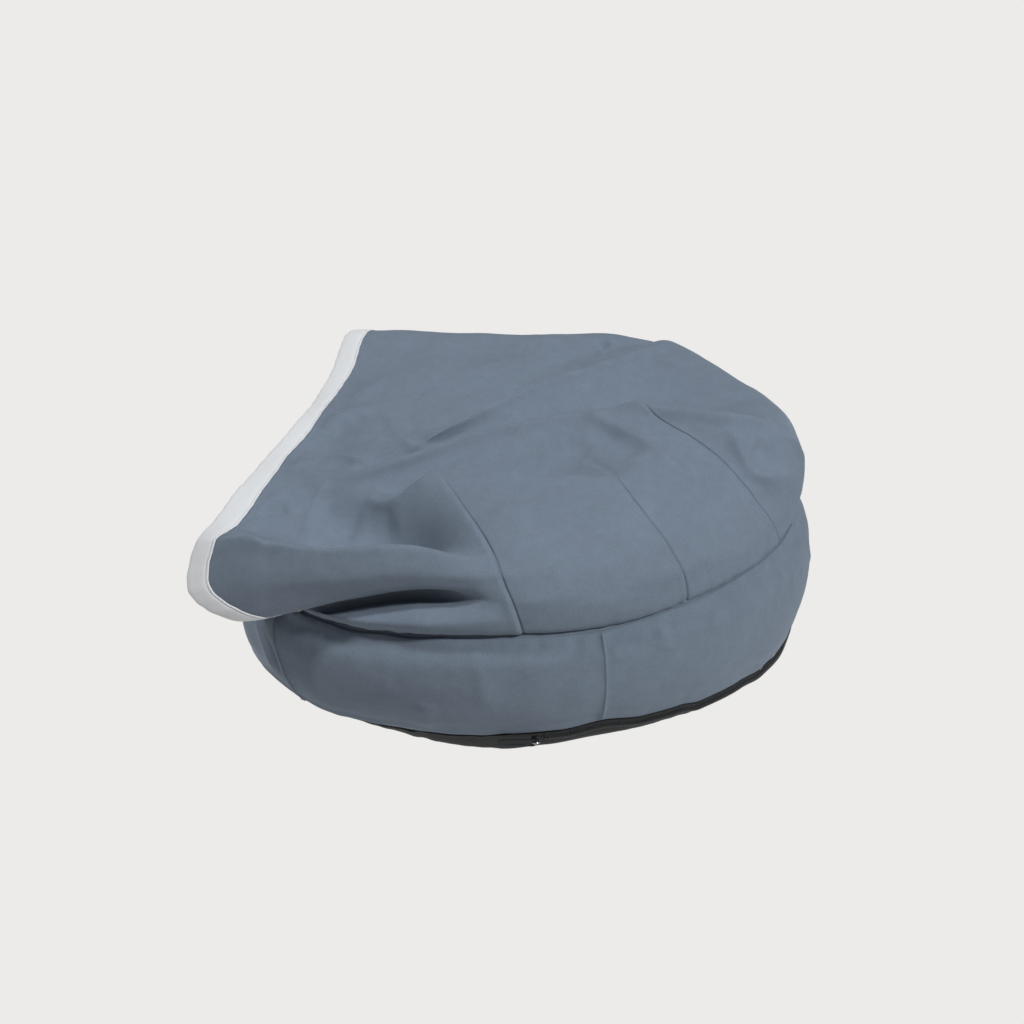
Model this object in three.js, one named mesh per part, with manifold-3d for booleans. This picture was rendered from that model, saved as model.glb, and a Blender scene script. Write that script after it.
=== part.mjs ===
// Dog nest bed: a round filled pad with a soft cloth hood that has sunk into folds.
// Millimetres, +Z up. The floor is Z = 0 under the middle of the pad and the hood's mouth
// faces -Y. Directions round the bed are degrees from +X towards +Y; folds run from the
// mouth to the back.
import * as THREE from 'three';
import Module from 'manifold-3d';
import { mergeVertices } from 'three/addons/utils/BufferGeometryUtils.js';

const RIM_RADIUS = 268;
const PAD_CROWN = 139;
const FLAT_RADIUS = 222;
const CLOTH = 3;
const GAP = 0.4;
const HOOD_LIFT = 1.2;
const TRIM_WIDTH = 24;
const TRIM_CLOTH = 1.2;
const BOTTOM_CLOTH = 2;
const DART_DEPTH = 2.2;
const DART_HALF_WIDTH = 0.1;
const ZIP_START = 20;
const ZIP_END = 104;
const PAD_STEPS = 72;

const fabric = (colour, name) =>
  new THREE.MeshStandardMaterial({ color: colour, roughness: 0.95, metalness: 0, name });
const group = new THREE.Group();
group.name = 'dog_nest_bed';

function add(name, geometry, material) {
  const mesh = new THREE.Mesh(geometry, material);
  mesh.name = name;
  group.add(mesh);
}

// Values that change with the direction round the bed: direction, then value.
const RIM_HEIGHT = [
  [-90, 100], [-37, 105], [-22, 112], [-8, 121], [4, 127], [18, 130], [30, 129], [52, 134],
  [67, 136], [90, 132], [125, 134], [161, 132], [200, 122], [218, 112], [250, 102], [270, 100],
];
const BELLY_RADIUS = [
  [-90, 286], [-60, 290], [-30, 285], [0, 281], [45, 280], [110, 281], [180, 280], [270, 286],
];
const LOW_RADIUS = [
  [-90, 284], [-60, 288], [-30, 280], [0, 268], [45, 268], [110, 272], [180, 270], [270, 284],
];
const BLUE_EDGE = [
  [-90, 12], [-40, 12], [-25, 13.5], [-14, 16.5], [-8, 19], [0, 21], [8, 23], [14, 26],
  [24, 27.5], [33, 32], [42, 27], [50, 25.8], [55, 21.5], [67, 19.5],
  [75, 14.5], [85, 12], [92, 15], [105, 11], [140, 14], [180, 12], [225, 14], [270, 12],
];
const PANEL_LIFT = [
  [-90, 0], [-25, 1], [-10, 3], [0, 1], [6, 0], [14, 0], [21, 3.5], [32, 7.5], [46, 5.5],
  [60, 1.2], [72, 0], [270, 0],
];

function around(table, degrees) {
  const angle = ((((degrees + 90) % 360) + 360) % 360) - 90;
  for (let i = 1; i < table.length; i += 1) {
    const [a, low] = table[i - 1];
    const [b, high] = table[i];
    if (angle <= b) {
      const t = (angle - a) / (b - a);
      return low + (high - low) * t * t * (3 - 2 * t);
    }
  }
  return table[table.length - 1][1];
}

function polar(degrees, radius, z) {
  const angle = THREE.MathUtils.degToRad(degrees);
  return [radius * Math.cos(angle), radius * Math.sin(angle), z];
}

function rim(degrees, rise = 0, radius = RIM_RADIUS) {
  return polar(degrees, radius, around(RIM_HEIGHT, degrees) + HOOD_LIFT + rise);
}

// The hood. One row for each line that runs from the mouth to the back rim, near side first.
// Station 0 is the mouth, stations 5, 7 and 9 are the first three darts, 12 is the back rim.
const LINES = [
  { name: 'near seam', at: [rim(-37.6), rim(-31), rim(-24), rim(-15), rim(0), rim(18), rim(35),
    rim(52), rim(69), rim(84), rim(88), rim(91), rim(93)] },
  { name: 'near wall', at: [[217, -167, 109], rim(-31.5, 6, 269), rim(-24.5, 10, 271),
    rim(-15.5, 14, 272), rim(-1, 18, 272), [258, 80, 149], rim(35, 19, 269), rim(52, 17, 265),
    rim(69, 16, 261), [27, 259, 151], rim(89, 15, 266), rim(93, 10, 270), rim(95)] },
  { name: 'pinch', tight: 0.7, at: [[226, -171, 113], [227, -150, 117], [232, -124, 123],
    [236, -88, 134], [238, -14, 155], [256, 74, 165], [215, 151, 165], [161, 205, 165],
    [90, 235, 165], [26, 252, 161], polar(90, 260, 162), polar(94.5, 271, 154), rim(97)] },
  { name: 'lip', at: [[258, -202, 111], [257, -178, 117], [254, -150, 125],
    [250, -100, 141], [253, -20, 167], [250, 66, 178], [206, 145, 182], [152, 191, 182],
    [81, 224, 180], [23, 240, 174], polar(91, 256, 177), polar(96, 273, 163), rim(99)] },
  { name: 'front', at: [[250, -251, 130], [260, -188, 153], [261, -155, 158], [261, -104, 166],
    [259, -27, 184], [246, 61, 187], [200, 140, 189], [146, 183, 189], [78, 214, 188],
    [20, 234, 181], polar(91.5, 254, 184), polar(96.7, 274, 167), rim(100)] },
  { name: 'front fold', tight: 0.5, at: [[220, -253, 167], [242, -190, 190], [248, -155, 191],
    [248, -105, 191], [245, -32, 201], [236, 54, 195], [190, 133, 196], [137, 173, 195],
    [73, 202, 195], [17, 226, 187], polar(92, 250, 190), polar(97.5, 274, 170), rim(101)] },
  { name: 'hollow', at: [[190, -244, 181], [210, -192, 180], [214, -155, 180], [211, -100, 166],
    [208, -38, 166], [212, 31, 210], [162, 118, 211], [117, 148, 209], [60, 175, 209],
    [2, 200, 204], polar(94.5, 240, 204), polar(99.5, 274, 177), rim(103)] },
  { name: 'second fold', tight: 0.4, at: [[149, -241, 190], [165, -192, 187], [168, -152, 187],
    [150, -112, 199], [166, -78, 206], [145, -31, 228], [128, 40, 228], [93, 123, 218],
    [46, 143, 221], [-7, 168, 220], polar(98, 238, 213), polar(101.5, 274, 183), rim(105.5)] },
  { name: 'second dip', at: [[110, -238, 195], [128, -190, 193], [150, -151, 193],
    [132, -112, 198], [130, -84, 194], [108, -35, 206], [92, 25, 207], [62, 78, 213],
    [24, 104, 227], [-14, 132, 234], polar(101, 238, 217), polar(103, 274, 186), rim(108)] },
  { name: 'main fold', tight: 0.45, at: [[77, -235, 200], [105, -190, 199], [128, -150, 201],
    [112, -114, 207], [92, -82, 215], [55, -34, 225], [30, 12, 232], [8, 50, 235],
    [-10, 85, 237], [-26, 116, 238], [-52, 225, 220], polar(104, 272, 190), rim(111)] },
  { name: 'main dip', at: [[30, -235, 203], [60, -188, 197], [88, -150, 199], [86, -115, 200],
    [64, -80, 210], [28, -36, 216], [5, 0, 215], [-25, 38, 213], [-55, 75, 210],
    [-75, 115, 208], polar(118, 241, 214), polar(121, 273, 178), rim(124)] },
  { name: 'far fold', tight: 0.5, at: [[-30, -236, 206], [5, -185, 209], [45, -140, 211],
    [52, -105, 214], [38, -73, 222], [-5, -40, 228], [-55, -8, 233], [-95, 25, 235],
    [-130, 50, 235], [-165, 74, 235], [-205, 101, 230], polar(150, 272, 185), rim(148)] },
  { name: 'flat', at: [[-99, -244, 212], [-85, -185, 213], [-60, -140, 214], [-50, -105, 215],
    [-58, -72, 216], [-90, -35, 220], [-125, -15, 221], [-155, 5, 222], [-185, 30, 222],
    [-205, 52, 222], polar(159, 242, 219), polar(161, 272, 178), rim(161)] },
  { name: 'far shoulder', at: [[-172, -252, 226], [-180, -200, 229], [-187, -158, 227],
    [-194, -120, 226], [-199, -85, 225], [-206, -50, 226], [-213, -28, 226], [-219, -5, 226],
    [-224, 20, 226], [-228, 42, 222], polar(165, 250, 208), polar(167, 272, 172), rim(167)] },
  { name: 'far wall', at: [[-212, -225, 180], rim(213, 45, 274), rim(206, 45, 274),
    rim(200, 45, 274), rim(194, 45, 274), rim(189, 45, 274), rim(185, 45, 274),
    rim(181, 45, 274), rim(178, 44, 274), rim(175.5, 42, 274), rim(174, 38, 274),
    rim(172.5, 30, 273), rim(170.5)] },
  { name: 'far seam', at: [rim(218), rim(212), rim(206), rim(200), rim(195), rim(191), rim(187),
    rim(183), rim(180), rim(178), rim(176), rim(174.5), rim(173)] },
];

// Small creases laid on the big folds: height (minus is a trough), half width, and the path.
const CREASES = [
  { name: 'by the mouth, low', height: 4, width: 9, path: [[150, -232, 191], [140, -195, 192]] },
  { name: 'by the mouth, middle', height: 5, width: 10,
    path: [[92, -225, 198], [96, -185, 199], [118, -148, 202]] },
  { name: 'by the mouth, high', height: 5, width: 10,
    path: [[20, -215, 203], [12, -180, 206], [18, -150, 208]] },
  { name: 'fold that meets the main fold', height: 5, width: 9,
    path: [[0, -140, 212], [35, -118, 212], [60, -90, 212]] },
  { name: 'branch of the main fold', height: 4, width: 12,
    path: [[5, 62, 234], [17, 106, 230], [33, 142, 222], [47, 177, 208]] },
  { name: 'wrinkle at the end of the main fold', height: 4, width: 9,
    path: [[-20, 212, 205], [-22, 240, 190], [-30, 268, 160]] },
  { name: 'far top', height: 4, width: 12, path: [[-90, -120, 216], [-125, -70, 220]] },
];

// Darts are sewn troughs: the first three follow a station, the last two follow a line.
const STATION_DARTS = [
  { station: 5, lastLine: 7 },
  { station: 7, lastLine: 8 },
  { station: 9, lastLine: 9 },
];
const LINE_DARTS = [
  { line: 10, firstStation: 9 },
  { line: 12, firstStation: 9 },
];

const lastStation = LINES[0].at.length - 1;
const lastLine = LINES.length - 1;
const vec = (p) => new THREE.Vector3(p[0], p[1], p[2]);

function hermite(p, k, f, tight) {
  const before = k > 0 ? p[k - 1] : p[0].clone().multiplyScalar(2).sub(p[1]);
  const after = k + 2 < p.length ? p[k + 2] : p[k + 1].clone().multiplyScalar(2).sub(p[k]);
  const m0 = p[k + 1].clone().sub(before).multiplyScalar(0.5 * tight(k));
  const m1 = after.clone().sub(p[k]).multiplyScalar(0.5 * tight(k + 1));
  const f2 = f * f;
  const f3 = f2 * f;
  return p[k].clone().multiplyScalar(2 * f3 - 3 * f2 + 1)
    .add(m0.multiplyScalar(f3 - 2 * f2 + f))
    .add(p[k + 1].clone().multiplyScalar(3 * f2 - 2 * f3))
    .add(m1.multiplyScalar(f3 - f2));
}

const netPoints = LINES.map((line) => line.at.map(vec));

function hoodBase(station, line) {
  const ks = Math.min(Math.floor(station), lastStation - 1);
  const across = netPoints.map((points) => hermite(points, ks, station - ks, () => 1));
  const kl = Math.min(Math.floor(line), lastLine - 1);
  return hermite(across, kl, line - kl, (k) => LINES[k].tight ?? 1);
}

function hoodNormal(station, line) {
  const e = 0.02;
  const s0 = Math.max(station - e, 0);
  const s1 = Math.min(station + e, lastStation);
  const l0 = Math.max(line - e, 0);
  const l1 = Math.min(line + e, lastLine);
  const along = hoodBase(s1, line).sub(hoodBase(s0, line));
  const across = hoodBase(station, l1).sub(hoodBase(station, l0));
  return along.cross(across).normalize();
}

const segment = new THREE.Line3();
const nearest = new THREE.Vector3();

function creaseRise(point) {
  let rise = 0;
  for (const crease of CREASES) {
    let distance = Infinity;
    for (let i = 1; i < crease.path.length; i += 1) {
      segment.set(vec(crease.path[i - 1]), vec(crease.path[i]));
      segment.closestPointToPoint(point, true, nearest);
      distance = Math.min(distance, nearest.distanceTo(point));
    }
    rise += crease.height * Math.exp(-((distance / crease.width) ** 2));
  }
  return rise;
}

function dartDrop(station, line) {
  let drop = 0;
  for (const dart of STATION_DARTS) {
    if (Math.abs(station - dart.station) < 1e-6 && line < dart.lastLine) {
      drop += DART_DEPTH * Math.min(1, (dart.lastLine - line) / 1.5);
    }
  }
  for (const dart of LINE_DARTS) {
    if (Math.abs(line - dart.line) < 1e-6 && station > dart.firstStation) {
      drop += DART_DEPTH * Math.min(1, (station - dart.firstStation) / 1);
    }
  }
  return drop;
}

function hoodPoint(station, line) {
  const point = hoodBase(station, line);
  const normal = hoodNormal(station, line);
  const rise = creaseRise(point) - dartDrop(station, line);
  return { point: point.addScaledVector(normal, rise), normal };
}

// Station at a given length of cloth from the mouth, along one line of the hood.
function stationAtLength(length, line) {
  let travelled = 0;
  let last = hoodBase(0, line);
  for (let station = 0.02; station < 3; station += 0.02) {
    const next = hoodBase(station, line);
    const step = next.distanceTo(last);
    if (travelled + step >= length) {
      return station - 0.02 + 0.02 * ((length - travelled) / step);
    }
    travelled += step;
    last = next;
  }
  return 3;
}

const lineSteps = [];
for (let k = 0; k < lastLine; k += 1) {
  lineSteps.push(k, k + 1 / 3, k + 2 / 3);
}
lineSteps.push(lastLine);
for (const dart of LINE_DARTS) {
  lineSteps.push(dart.line - DART_HALF_WIDTH, dart.line + DART_HALF_WIDTH);
}
lineSteps.sort((a, b) => a - b);

const stationSteps = [];
for (let k = 1; k < lastStation; k += 1) {
  stationSteps.push(k, k + 1 / 3, k + 2 / 3);
}
stationSteps.push(lastStation);
for (const dart of STATION_DARTS) {
  stationSteps.push(dart.station - DART_HALF_WIDTH, dart.station + DART_HALF_WIDTH);
}
stationSteps.sort((a, b) => a - b);

// A closed solid from two grids of points that lie face to face.
function shell(front, back) {
  const rows = front.length;
  const columns = front[0].length;
  const points = [...front.flat(), ...back.flat()];
  const index = [];
  const f = (i, j) => i * columns + j;
  const b = (i, j) => (rows + i) * columns + j;
  const quad = (p, q, r, s) => {
    if (points[p].distanceTo(points[r]) <= points[q].distanceTo(points[s]) + 0.01) {
      index.push(p, q, r, p, r, s);
    } else {
      index.push(p, q, s, q, r, s);
    }
  };
  for (let i = 0; i + 1 < rows; i += 1) {
    for (let j = 0; j + 1 < columns; j += 1) {
      quad(f(i, j), f(i, j + 1), f(i + 1, j + 1), f(i + 1, j));
      quad(b(i, j), b(i + 1, j), b(i + 1, j + 1), b(i, j + 1));
    }
    quad(f(i, 0), f(i + 1, 0), b(i + 1, 0), b(i, 0));
    quad(f(i, columns - 1), b(i, columns - 1), b(i + 1, columns - 1), f(i + 1, columns - 1));
  }
  for (let j = 0; j + 1 < columns; j += 1) {
    quad(f(0, j), b(0, j), b(0, j + 1), f(0, j + 1));
    quad(f(rows - 1, j), f(rows - 1, j + 1), b(rows - 1, j + 1), b(rows - 1, j));
  }
  return facingOut(points, index);
}

// A closed solid from rings of points, with one point at each end.
function lathe(start, rings, end) {
  const points = [start, ...rings.flat(), end];
  const count = rings[0].length;
  const index = [];
  const at = (i, j) => 1 + i * count + (j % count);
  for (let j = 0; j < count; j += 1) {
    index.push(0, at(0, j + 1), at(0, j));
    index.push(points.length - 1, at(rings.length - 1, j), at(rings.length - 1, j + 1));
    for (let i = 0; i + 1 < rings.length; i += 1) {
      index.push(at(i, j), at(i, j + 1), at(i + 1, j + 1));
      index.push(at(i, j), at(i + 1, j + 1), at(i + 1, j));
    }
  }
  return facingOut(points, index);
}

function facingOut(points, index) {
  let volume = 0;
  for (let i = 0; i < index.length; i += 3) {
    const [a, b, c] = [points[index[i]], points[index[i + 1]], points[index[i + 2]]];
    volume += a.dot(b.clone().cross(c));
  }
  if (volume < 0) {
    for (let i = 0; i < index.length; i += 3) {
      [index[i + 1], index[i + 2]] = [index[i + 2], index[i + 1]];
    }
  }
  const geometry = new THREE.BufferGeometry();
  geometry.setAttribute('position', new THREE.BufferAttribute(
    new Float32Array(points.flatMap((p) => [p.x, p.y, p.z])), 3));
  geometry.setIndex(index);
  geometry.computeVertexNormals();
  return geometry;
}

// The first rows of the hood lie inside the mouth trim, at these lengths from the edge.
const HIDDEN_ROWS = [4.5, 6, 14, TRIM_WIDTH];
const hoodOut = [];
const hoodIn = [];
for (const line of lineSteps) {
  const rowsInTrim = HIDDEN_ROWS.map((length) => stationAtLength(length, line));
  const free = rowsInTrim[rowsInTrim.length - 1];
  const first = (free + 1.2) / 2;
  const rest = stationSteps.filter((station) => station > 1.3);
  const outer = [];
  const inner = [];
  for (const station of [...rowsInTrim, first, 1.2, ...rest]) {
    const { point, normal } = hoodPoint(station, line);
    outer.push(point);
    inner.push(point.clone().addScaledVector(normal, -CLOTH));
  }
  hoodOut.push(outer);
  hoodIn.push(inner);
}
add('hood', shell(hoodOut, hoodIn), fabric(0x6f7c8c, 'suede'));

// Mouth trim: a folded band over the hood's edge. Length from the edge, height off the hood.
const TRIM_OUTSIDE = [
  [TRIM_WIDTH, GAP + TRIM_CLOTH], [14, GAP + TRIM_CLOTH + 0.2], [6, GAP + TRIM_CLOTH], [1, 0.8],
  [0, -CLOTH / 2], [1, -CLOTH - 0.8], [6, -CLOTH - GAP - TRIM_CLOTH],
  [14, -CLOTH - GAP - TRIM_CLOTH - 0.2], [TRIM_WIDTH, -CLOTH - GAP - TRIM_CLOTH],
];
const TRIM_INSIDE = [
  [TRIM_WIDTH, GAP], [14, GAP], [6, GAP], [3, GAP], [3, -CLOTH / 2], [3, -CLOTH - GAP],
  [6, -CLOTH - GAP], [14, -CLOTH - GAP], [TRIM_WIDTH, -CLOTH - GAP],
];

function trimPoint(line, [length, height]) {
  const { point, normal } = hoodPoint(stationAtLength(length, line), line);
  return point.addScaledVector(normal, height);
}

const trimOut = lineSteps.map((line) => TRIM_OUTSIDE.map((entry) => trimPoint(line, entry)));
const trimIn = lineSteps.map((line) => TRIM_INSIDE.map((entry) => trimPoint(line, entry)));
add('mouth_trim', shell(trimOut, trimIn), fabric(0xc9cbce, 'trim'));

// The pad: one filled cushion. Its wall panels meet at four upright seams.
const PANEL_SEAMS = [33, 125, 217, 323];
const SEAM_HALF_WIDTH = 0.9;

function nearestSeam(degrees) {
  return Math.min(...PANEL_SEAMS.map((seam) => Math.abs(((degrees - seam + 540) % 360) - 180)));
}

const directions = [];
for (let i = 0; i < PAD_STEPS; i += 1) {
  const degrees = -90 + (360 / PAD_STEPS) * i;
  if (nearestSeam(degrees) > 2) {
    directions.push(degrees);
  }
}
for (const seam of PANEL_SEAMS) {
  const wrapped = seam > 270 ? seam - 360 : seam;
  directions.push(wrapped - SEAM_HALF_WIDTH, wrapped, wrapped + SEAM_HALF_WIDTH);
}
directions.sort((a, b) => a - b);

const ringOf = (point) => directions.map((degrees) => vec(point(degrees)));
const flatRing = (radius, z) => ringOf((degrees) => polar(degrees, radius, z));
const edgeRing = (radius, rise) =>
  ringOf((degrees) => polar(degrees, radius, around(BLUE_EDGE, degrees) + rise));
const liftRing = (radius, z, share) =>
  ringOf((degrees) => polar(degrees, radius, z + share * around(PANEL_LIFT, degrees)));
const middle = (z) => new THREE.Vector3(0, 0, z);

// A ring of the pad's wall: share of the wall's height, how much of the low and belly
// bulges it takes, and the radius it adds.
function wallRing(share, low, belly, radius) {
  return ringOf((degrees) => {
    const foot = around(BLUE_EDGE, degrees);
    const top = around(RIM_HEIGHT, degrees) - 1;
    const bulge = low * around(LOW_RADIUS, degrees) + belly * around(BELLY_RADIUS, degrees);
    const drop = nearestSeam(degrees) < 0.1 ? DART_DEPTH : 0;
    return polar(degrees, bulge + radius - drop, foot + (top - foot) * share);
  });
}

function crownRing(radius, share) {
  return ringOf((degrees) => {
    const edge = around(RIM_HEIGHT, degrees) - 0.8;
    return polar(degrees, radius, edge + (PAD_CROWN - edge) * share);
  });
}

add('base_pad', lathe(middle(2.4), [
  flatRing(FLAT_RADIUS - 2, 2.4),
  liftRing(FLAT_RADIUS + 19, 5.5, 0.5),
  liftRing(FLAT_RADIUS + 29, 8.3, 1),
  edgeRing(257.5, 0.3),
  edgeRing(262.5, 0.8),
  wallRing(0.08, 1, 0, -4),
  wallRing(0.2, 0.8, 0.2, 2),
  wallRing(0.34, 0.45, 0.55, 3),
  wallRing(0.5, 0.1, 0.9, 1),
  wallRing(0.66, 0, 1, 0),
  wallRing(0.8, 0, 0.6, 110),
  wallRing(0.91, 0, 0.2, 215.5),
  wallRing(0.98, 0, 0, RIM_RADIUS - 1),
  wallRing(1, 0, 0, RIM_RADIUS - 4),
  crownRing(252, 0.02),
  crownRing(225, 0.12),
  crownRing(180, 0.42),
  crownRing(120, 0.76),
  crownRing(60, 0.94),
], middle(PAD_CROWN)), fabric(0x6b767f, 'suede'));

// The bottom panel: black cloth that dishes up round the foot of the pad.
add('base_bottom', lathe(middle(0), [
  flatRing(FLAT_RADIUS, 0),
  liftRing(FLAT_RADIUS + 21, 2.5, 0.5),
  liftRing(FLAT_RADIUS + 34, 6, 1),
  edgeRing(261.5, -0.9),
  edgeRing(259.3, -0.6),
  liftRing(FLAT_RADIUS + 31.5, 7.6, 1),
  liftRing(FLAT_RADIUS + 20, 4.6, 0.5),
  flatRing(FLAT_RADIUS - 1, BOTTOM_CLOTH),
], middle(BOTTOM_CLOTH)), fabric(0x2a2c2b, 'lining_black'));

// The zip: a tape along the blue edge, its teeth, and the slider with its pull.
function strip(name, from, to, rows, colour) {
  const steps = Math.round((to - from) / 3);
  const front = [];
  const back = [];
  for (let i = 0; i <= steps; i += 1) {
    const degrees = from + ((to - from) * i) / steps;
    const edge = around(BLUE_EDGE, degrees);
    front.push(rows.map(([rise, radius]) => vec(polar(degrees, radius, edge + rise))));
    back.push(rows.map(([rise, , inner]) => vec(polar(degrees, inner, edge + rise))));
  }
  add(name, shell(front, back), fabric(colour, name));
}

// Height from the blue edge, outer radius, inner radius.
strip('zip_tape', ZIP_START + 1, ZIP_END,
  [[-8.2, 263.4, 262.2], [-4.8, 264, 262.6], [-1.4, 263.4, 262.2]], 0x232524);
strip('zip_teeth', ZIP_START + 1.5, ZIP_END - 1,
  [[-6.4, 265, 264.5], [-4.8, 266.2, 264.5], [-3.2, 265, 264.5]], 0x2f3130);

// The slider: a body on the teeth with a D-shaped bail, and a flat pull hung on the bail.
const SLIDER_AT = 19.3;
const SLIDER_RADIUS = 264.5;
const SLIDER_Z = around(BLUE_EDGE, SLIDER_AT) - 5.2;
const PULL_LENGTH = 36;
const PULL_HALF = 3.7;
const PULL_AT = SLIDER_AT - 3.7;

const wasm = await Module();
wasm.setup();

function solidOf(geometry) {
  const plain = new THREE.BufferGeometry();
  const loose = geometry.index ? geometry.toNonIndexed() : geometry;
  plain.setAttribute('position', loose.getAttribute('position'));
  const merged = mergeVertices(plain, 1e-3);
  return new wasm.Manifold(new wasm.Mesh({
    numProp: 3,
    vertProperties: merged.attributes.position.array,
    triVerts: new Uint32Array(merged.index.array),
  }));
}

function geometryOf(solid) {
  const mesh = solid.getMesh();
  const geometry = new THREE.BufferGeometry();
  geometry.setAttribute('position', new THREE.BufferAttribute(mesh.vertProperties, 3));
  geometry.setIndex(new THREE.BufferAttribute(mesh.triVerts, 1));
  return geometry;
}

// Turns a piece drawn with Y outwards and X along the zip to its place on the pad.
function place(geometry, degrees, radius, z) {
  const [x, y] = polar(degrees, radius, 0);
  return geometry.rotateZ(THREE.MathUtils.degToRad(degrees - 90)).translate(x, y, z);
}

const body = new THREE.BoxGeometry(9, 3, 8).translate(0, 1.5, 0);
const bailShape = new THREE.Shape();
bailShape.moveTo(-3.8, 2);
bailShape.lineTo(3.8, 2);
bailShape.lineTo(3.8, 4.4);
bailShape.absarc(0, 4.4, 3.8, 0, Math.PI, false);
bailShape.holes.push(new THREE.Path().absarc(0, 5.2, 2.1, 0, Math.PI * 2, true));
const bail = new THREE.ExtrudeGeometry(bailShape,
  { depth: 2.4, bevelEnabled: false, curveSegments: 10 }).translate(0, 0, -1.2);
const slider = geometryOf(solidOf(body).add(solidOf(bail)));
slider.computeVertexNormals();
const metal = (colour) =>
  new THREE.MeshStandardMaterial({ color: colour, roughness: 0.45, metalness: 0.8 });
add('zip_slider', place(slider, SLIDER_AT, SLIDER_RADIUS, SLIDER_Z), metal(0x3a3c3d));

const pullShape = new THREE.Shape();
const pullStraight = PULL_LENGTH / 2 - PULL_HALF;
pullShape.absarc(pullStraight, 0, PULL_HALF, -Math.PI / 2, Math.PI / 2, false);
pullShape.absarc(-pullStraight, 0, PULL_HALF, Math.PI / 2, Math.PI * 1.5, false);
pullShape.holes.push(new THREE.Path().absarc(-pullStraight, 0, 1.9, 0, Math.PI * 2, true));
const pull = new THREE.ExtrudeGeometry(pullShape,
  { depth: 1.2, bevelEnabled: false, curveSegments: 10 }).rotateX(Math.PI / 2);
add('zip_pull', place(pull.translate(0, 1.2, 0), PULL_AT, SLIDER_RADIUS + 4.5, SLIDER_Z),
  metal(0x2e3031));

export default group;
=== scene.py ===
"""Dog nest bed: a round filled pad with a soft cloth hood that has sunk into folds.

Tables are in millimetres in the part's frame: +Z up, the hood's mouth faces -Y, and
directions round the bed are degrees from +X towards +Y.
"""

import math

import bmesh
import bpy
import numpy as np
from bpy.props import FloatProperty, FloatVectorProperty, PointerProperty
from mathutils import Matrix, Vector, noise
from mathutils.bvhtree import BVHTree


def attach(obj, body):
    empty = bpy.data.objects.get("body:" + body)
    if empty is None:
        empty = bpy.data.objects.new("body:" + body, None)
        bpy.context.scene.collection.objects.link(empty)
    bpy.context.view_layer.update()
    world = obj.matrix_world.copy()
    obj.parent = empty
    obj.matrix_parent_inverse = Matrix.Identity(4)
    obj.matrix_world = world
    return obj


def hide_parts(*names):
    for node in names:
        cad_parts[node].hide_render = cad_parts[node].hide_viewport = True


bl_info = {
    "name": "Dog nest bed",
    "version": (1, 0, 0),
    "blender": (4, 5, 0),
    "location": "View3D > Sidebar > Nest bed",
    "description": "Builds a hooded pet bed round its packed model",
    "category": "Object",
}

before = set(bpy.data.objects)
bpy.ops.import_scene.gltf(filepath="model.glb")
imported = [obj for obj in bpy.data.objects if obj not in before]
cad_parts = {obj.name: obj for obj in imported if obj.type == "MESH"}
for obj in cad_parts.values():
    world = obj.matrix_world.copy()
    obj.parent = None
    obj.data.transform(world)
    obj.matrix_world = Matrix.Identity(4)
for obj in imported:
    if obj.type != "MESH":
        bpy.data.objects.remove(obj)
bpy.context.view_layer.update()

RIM_RADIUS = 268
PAD_CROWN = 139
FLAT_RADIUS = 222
HOOD_LIFT = 1.2
WALL_RADIUS = 280

# The photo's camera, which the stage uses too. The photo is square; its side and the focal
# length are in pixels, the angles in degrees.
PHOTO_SIDE = 1024
PHOTO_FOCUS = 2200
CAMERA_AZIMUTH = 110
CAMERA_ELEVATION = 26.5
CAMERA_ROLL = 3
CAMERA_DISTANCE = 2200
CAMERA_AIM = (4.8, -13.2, 122)

# Values that change with the direction round the bed: direction, then value.
RIM_HEIGHT = [
    (-90, 100), (-37, 105), (-22, 112), (-8, 121), (4, 127), (18, 130), (30, 129), (52, 134),
    (67, 136), (90, 132), (125, 134), (161, 132), (200, 122), (218, 112), (250, 102), (270, 100),
]
BELLY_RADIUS = [
    (-90, 286), (-60, 290), (-30, 285), (0, 281), (45, 280), (110, 281), (180, 280), (270, 286),
]
LOW_RADIUS = [
    (-90, 284), (-60, 288), (-30, 280), (0, 268), (45, 268), (110, 272), (180, 270), (270, 284),
]
BLUE_EDGE = [
    (-90, 12), (-40, 12), (-25, 13.5), (-14, 16.5), (-8, 19), (0, 21), (8, 23), (14, 26),
    (24, 27.5), (33, 32), (42, 27), (50, 25.8), (55, 21.5), (67, 19.5), (75, 14.5), (85, 12),
    (92, 15), (105, 11), (140, 14), (180, 12), (225, 14), (270, 12),
]
# How far the foot's black hem is drawn up off the floor.
PANEL_LIFT = [
    (-90, 0), (-25, 1), (-10, 3), (0, 1), (6, 0), (14, 0), (21, 3.5), (32, 7.5), (46, 5.5),
    (60, 1.2), (72, 0), (270, 0),
]


def around(table, degrees):
    """Value of a table at directions round the bed, eased from row to row."""
    angle = (np.asarray(degrees, float) + 90) % 360 - 90
    at, value = np.array(table, float).T
    row = np.clip(np.searchsorted(at, angle) - 1, 0, len(at) - 2)
    t = (angle - at[row]) / (at[row + 1] - at[row])
    return value[row] + (value[row + 1] - value[row]) * t * t * (3 - 2 * t)


def polar(degrees, radius, z):
    """A point, or points, from a direction, a radius and a height."""
    angle = np.radians(degrees)
    return np.stack(np.broadcast_arrays(radius * np.cos(angle), radius * np.sin(angle), z), -1)


def rim(degrees, rise=0, radius=RIM_RADIUS):
    """A point on the seam between hood and pad, or above it."""
    return polar(degrees, radius, around(RIM_HEIGHT, degrees) + HOOD_LIFT + rise)


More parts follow.
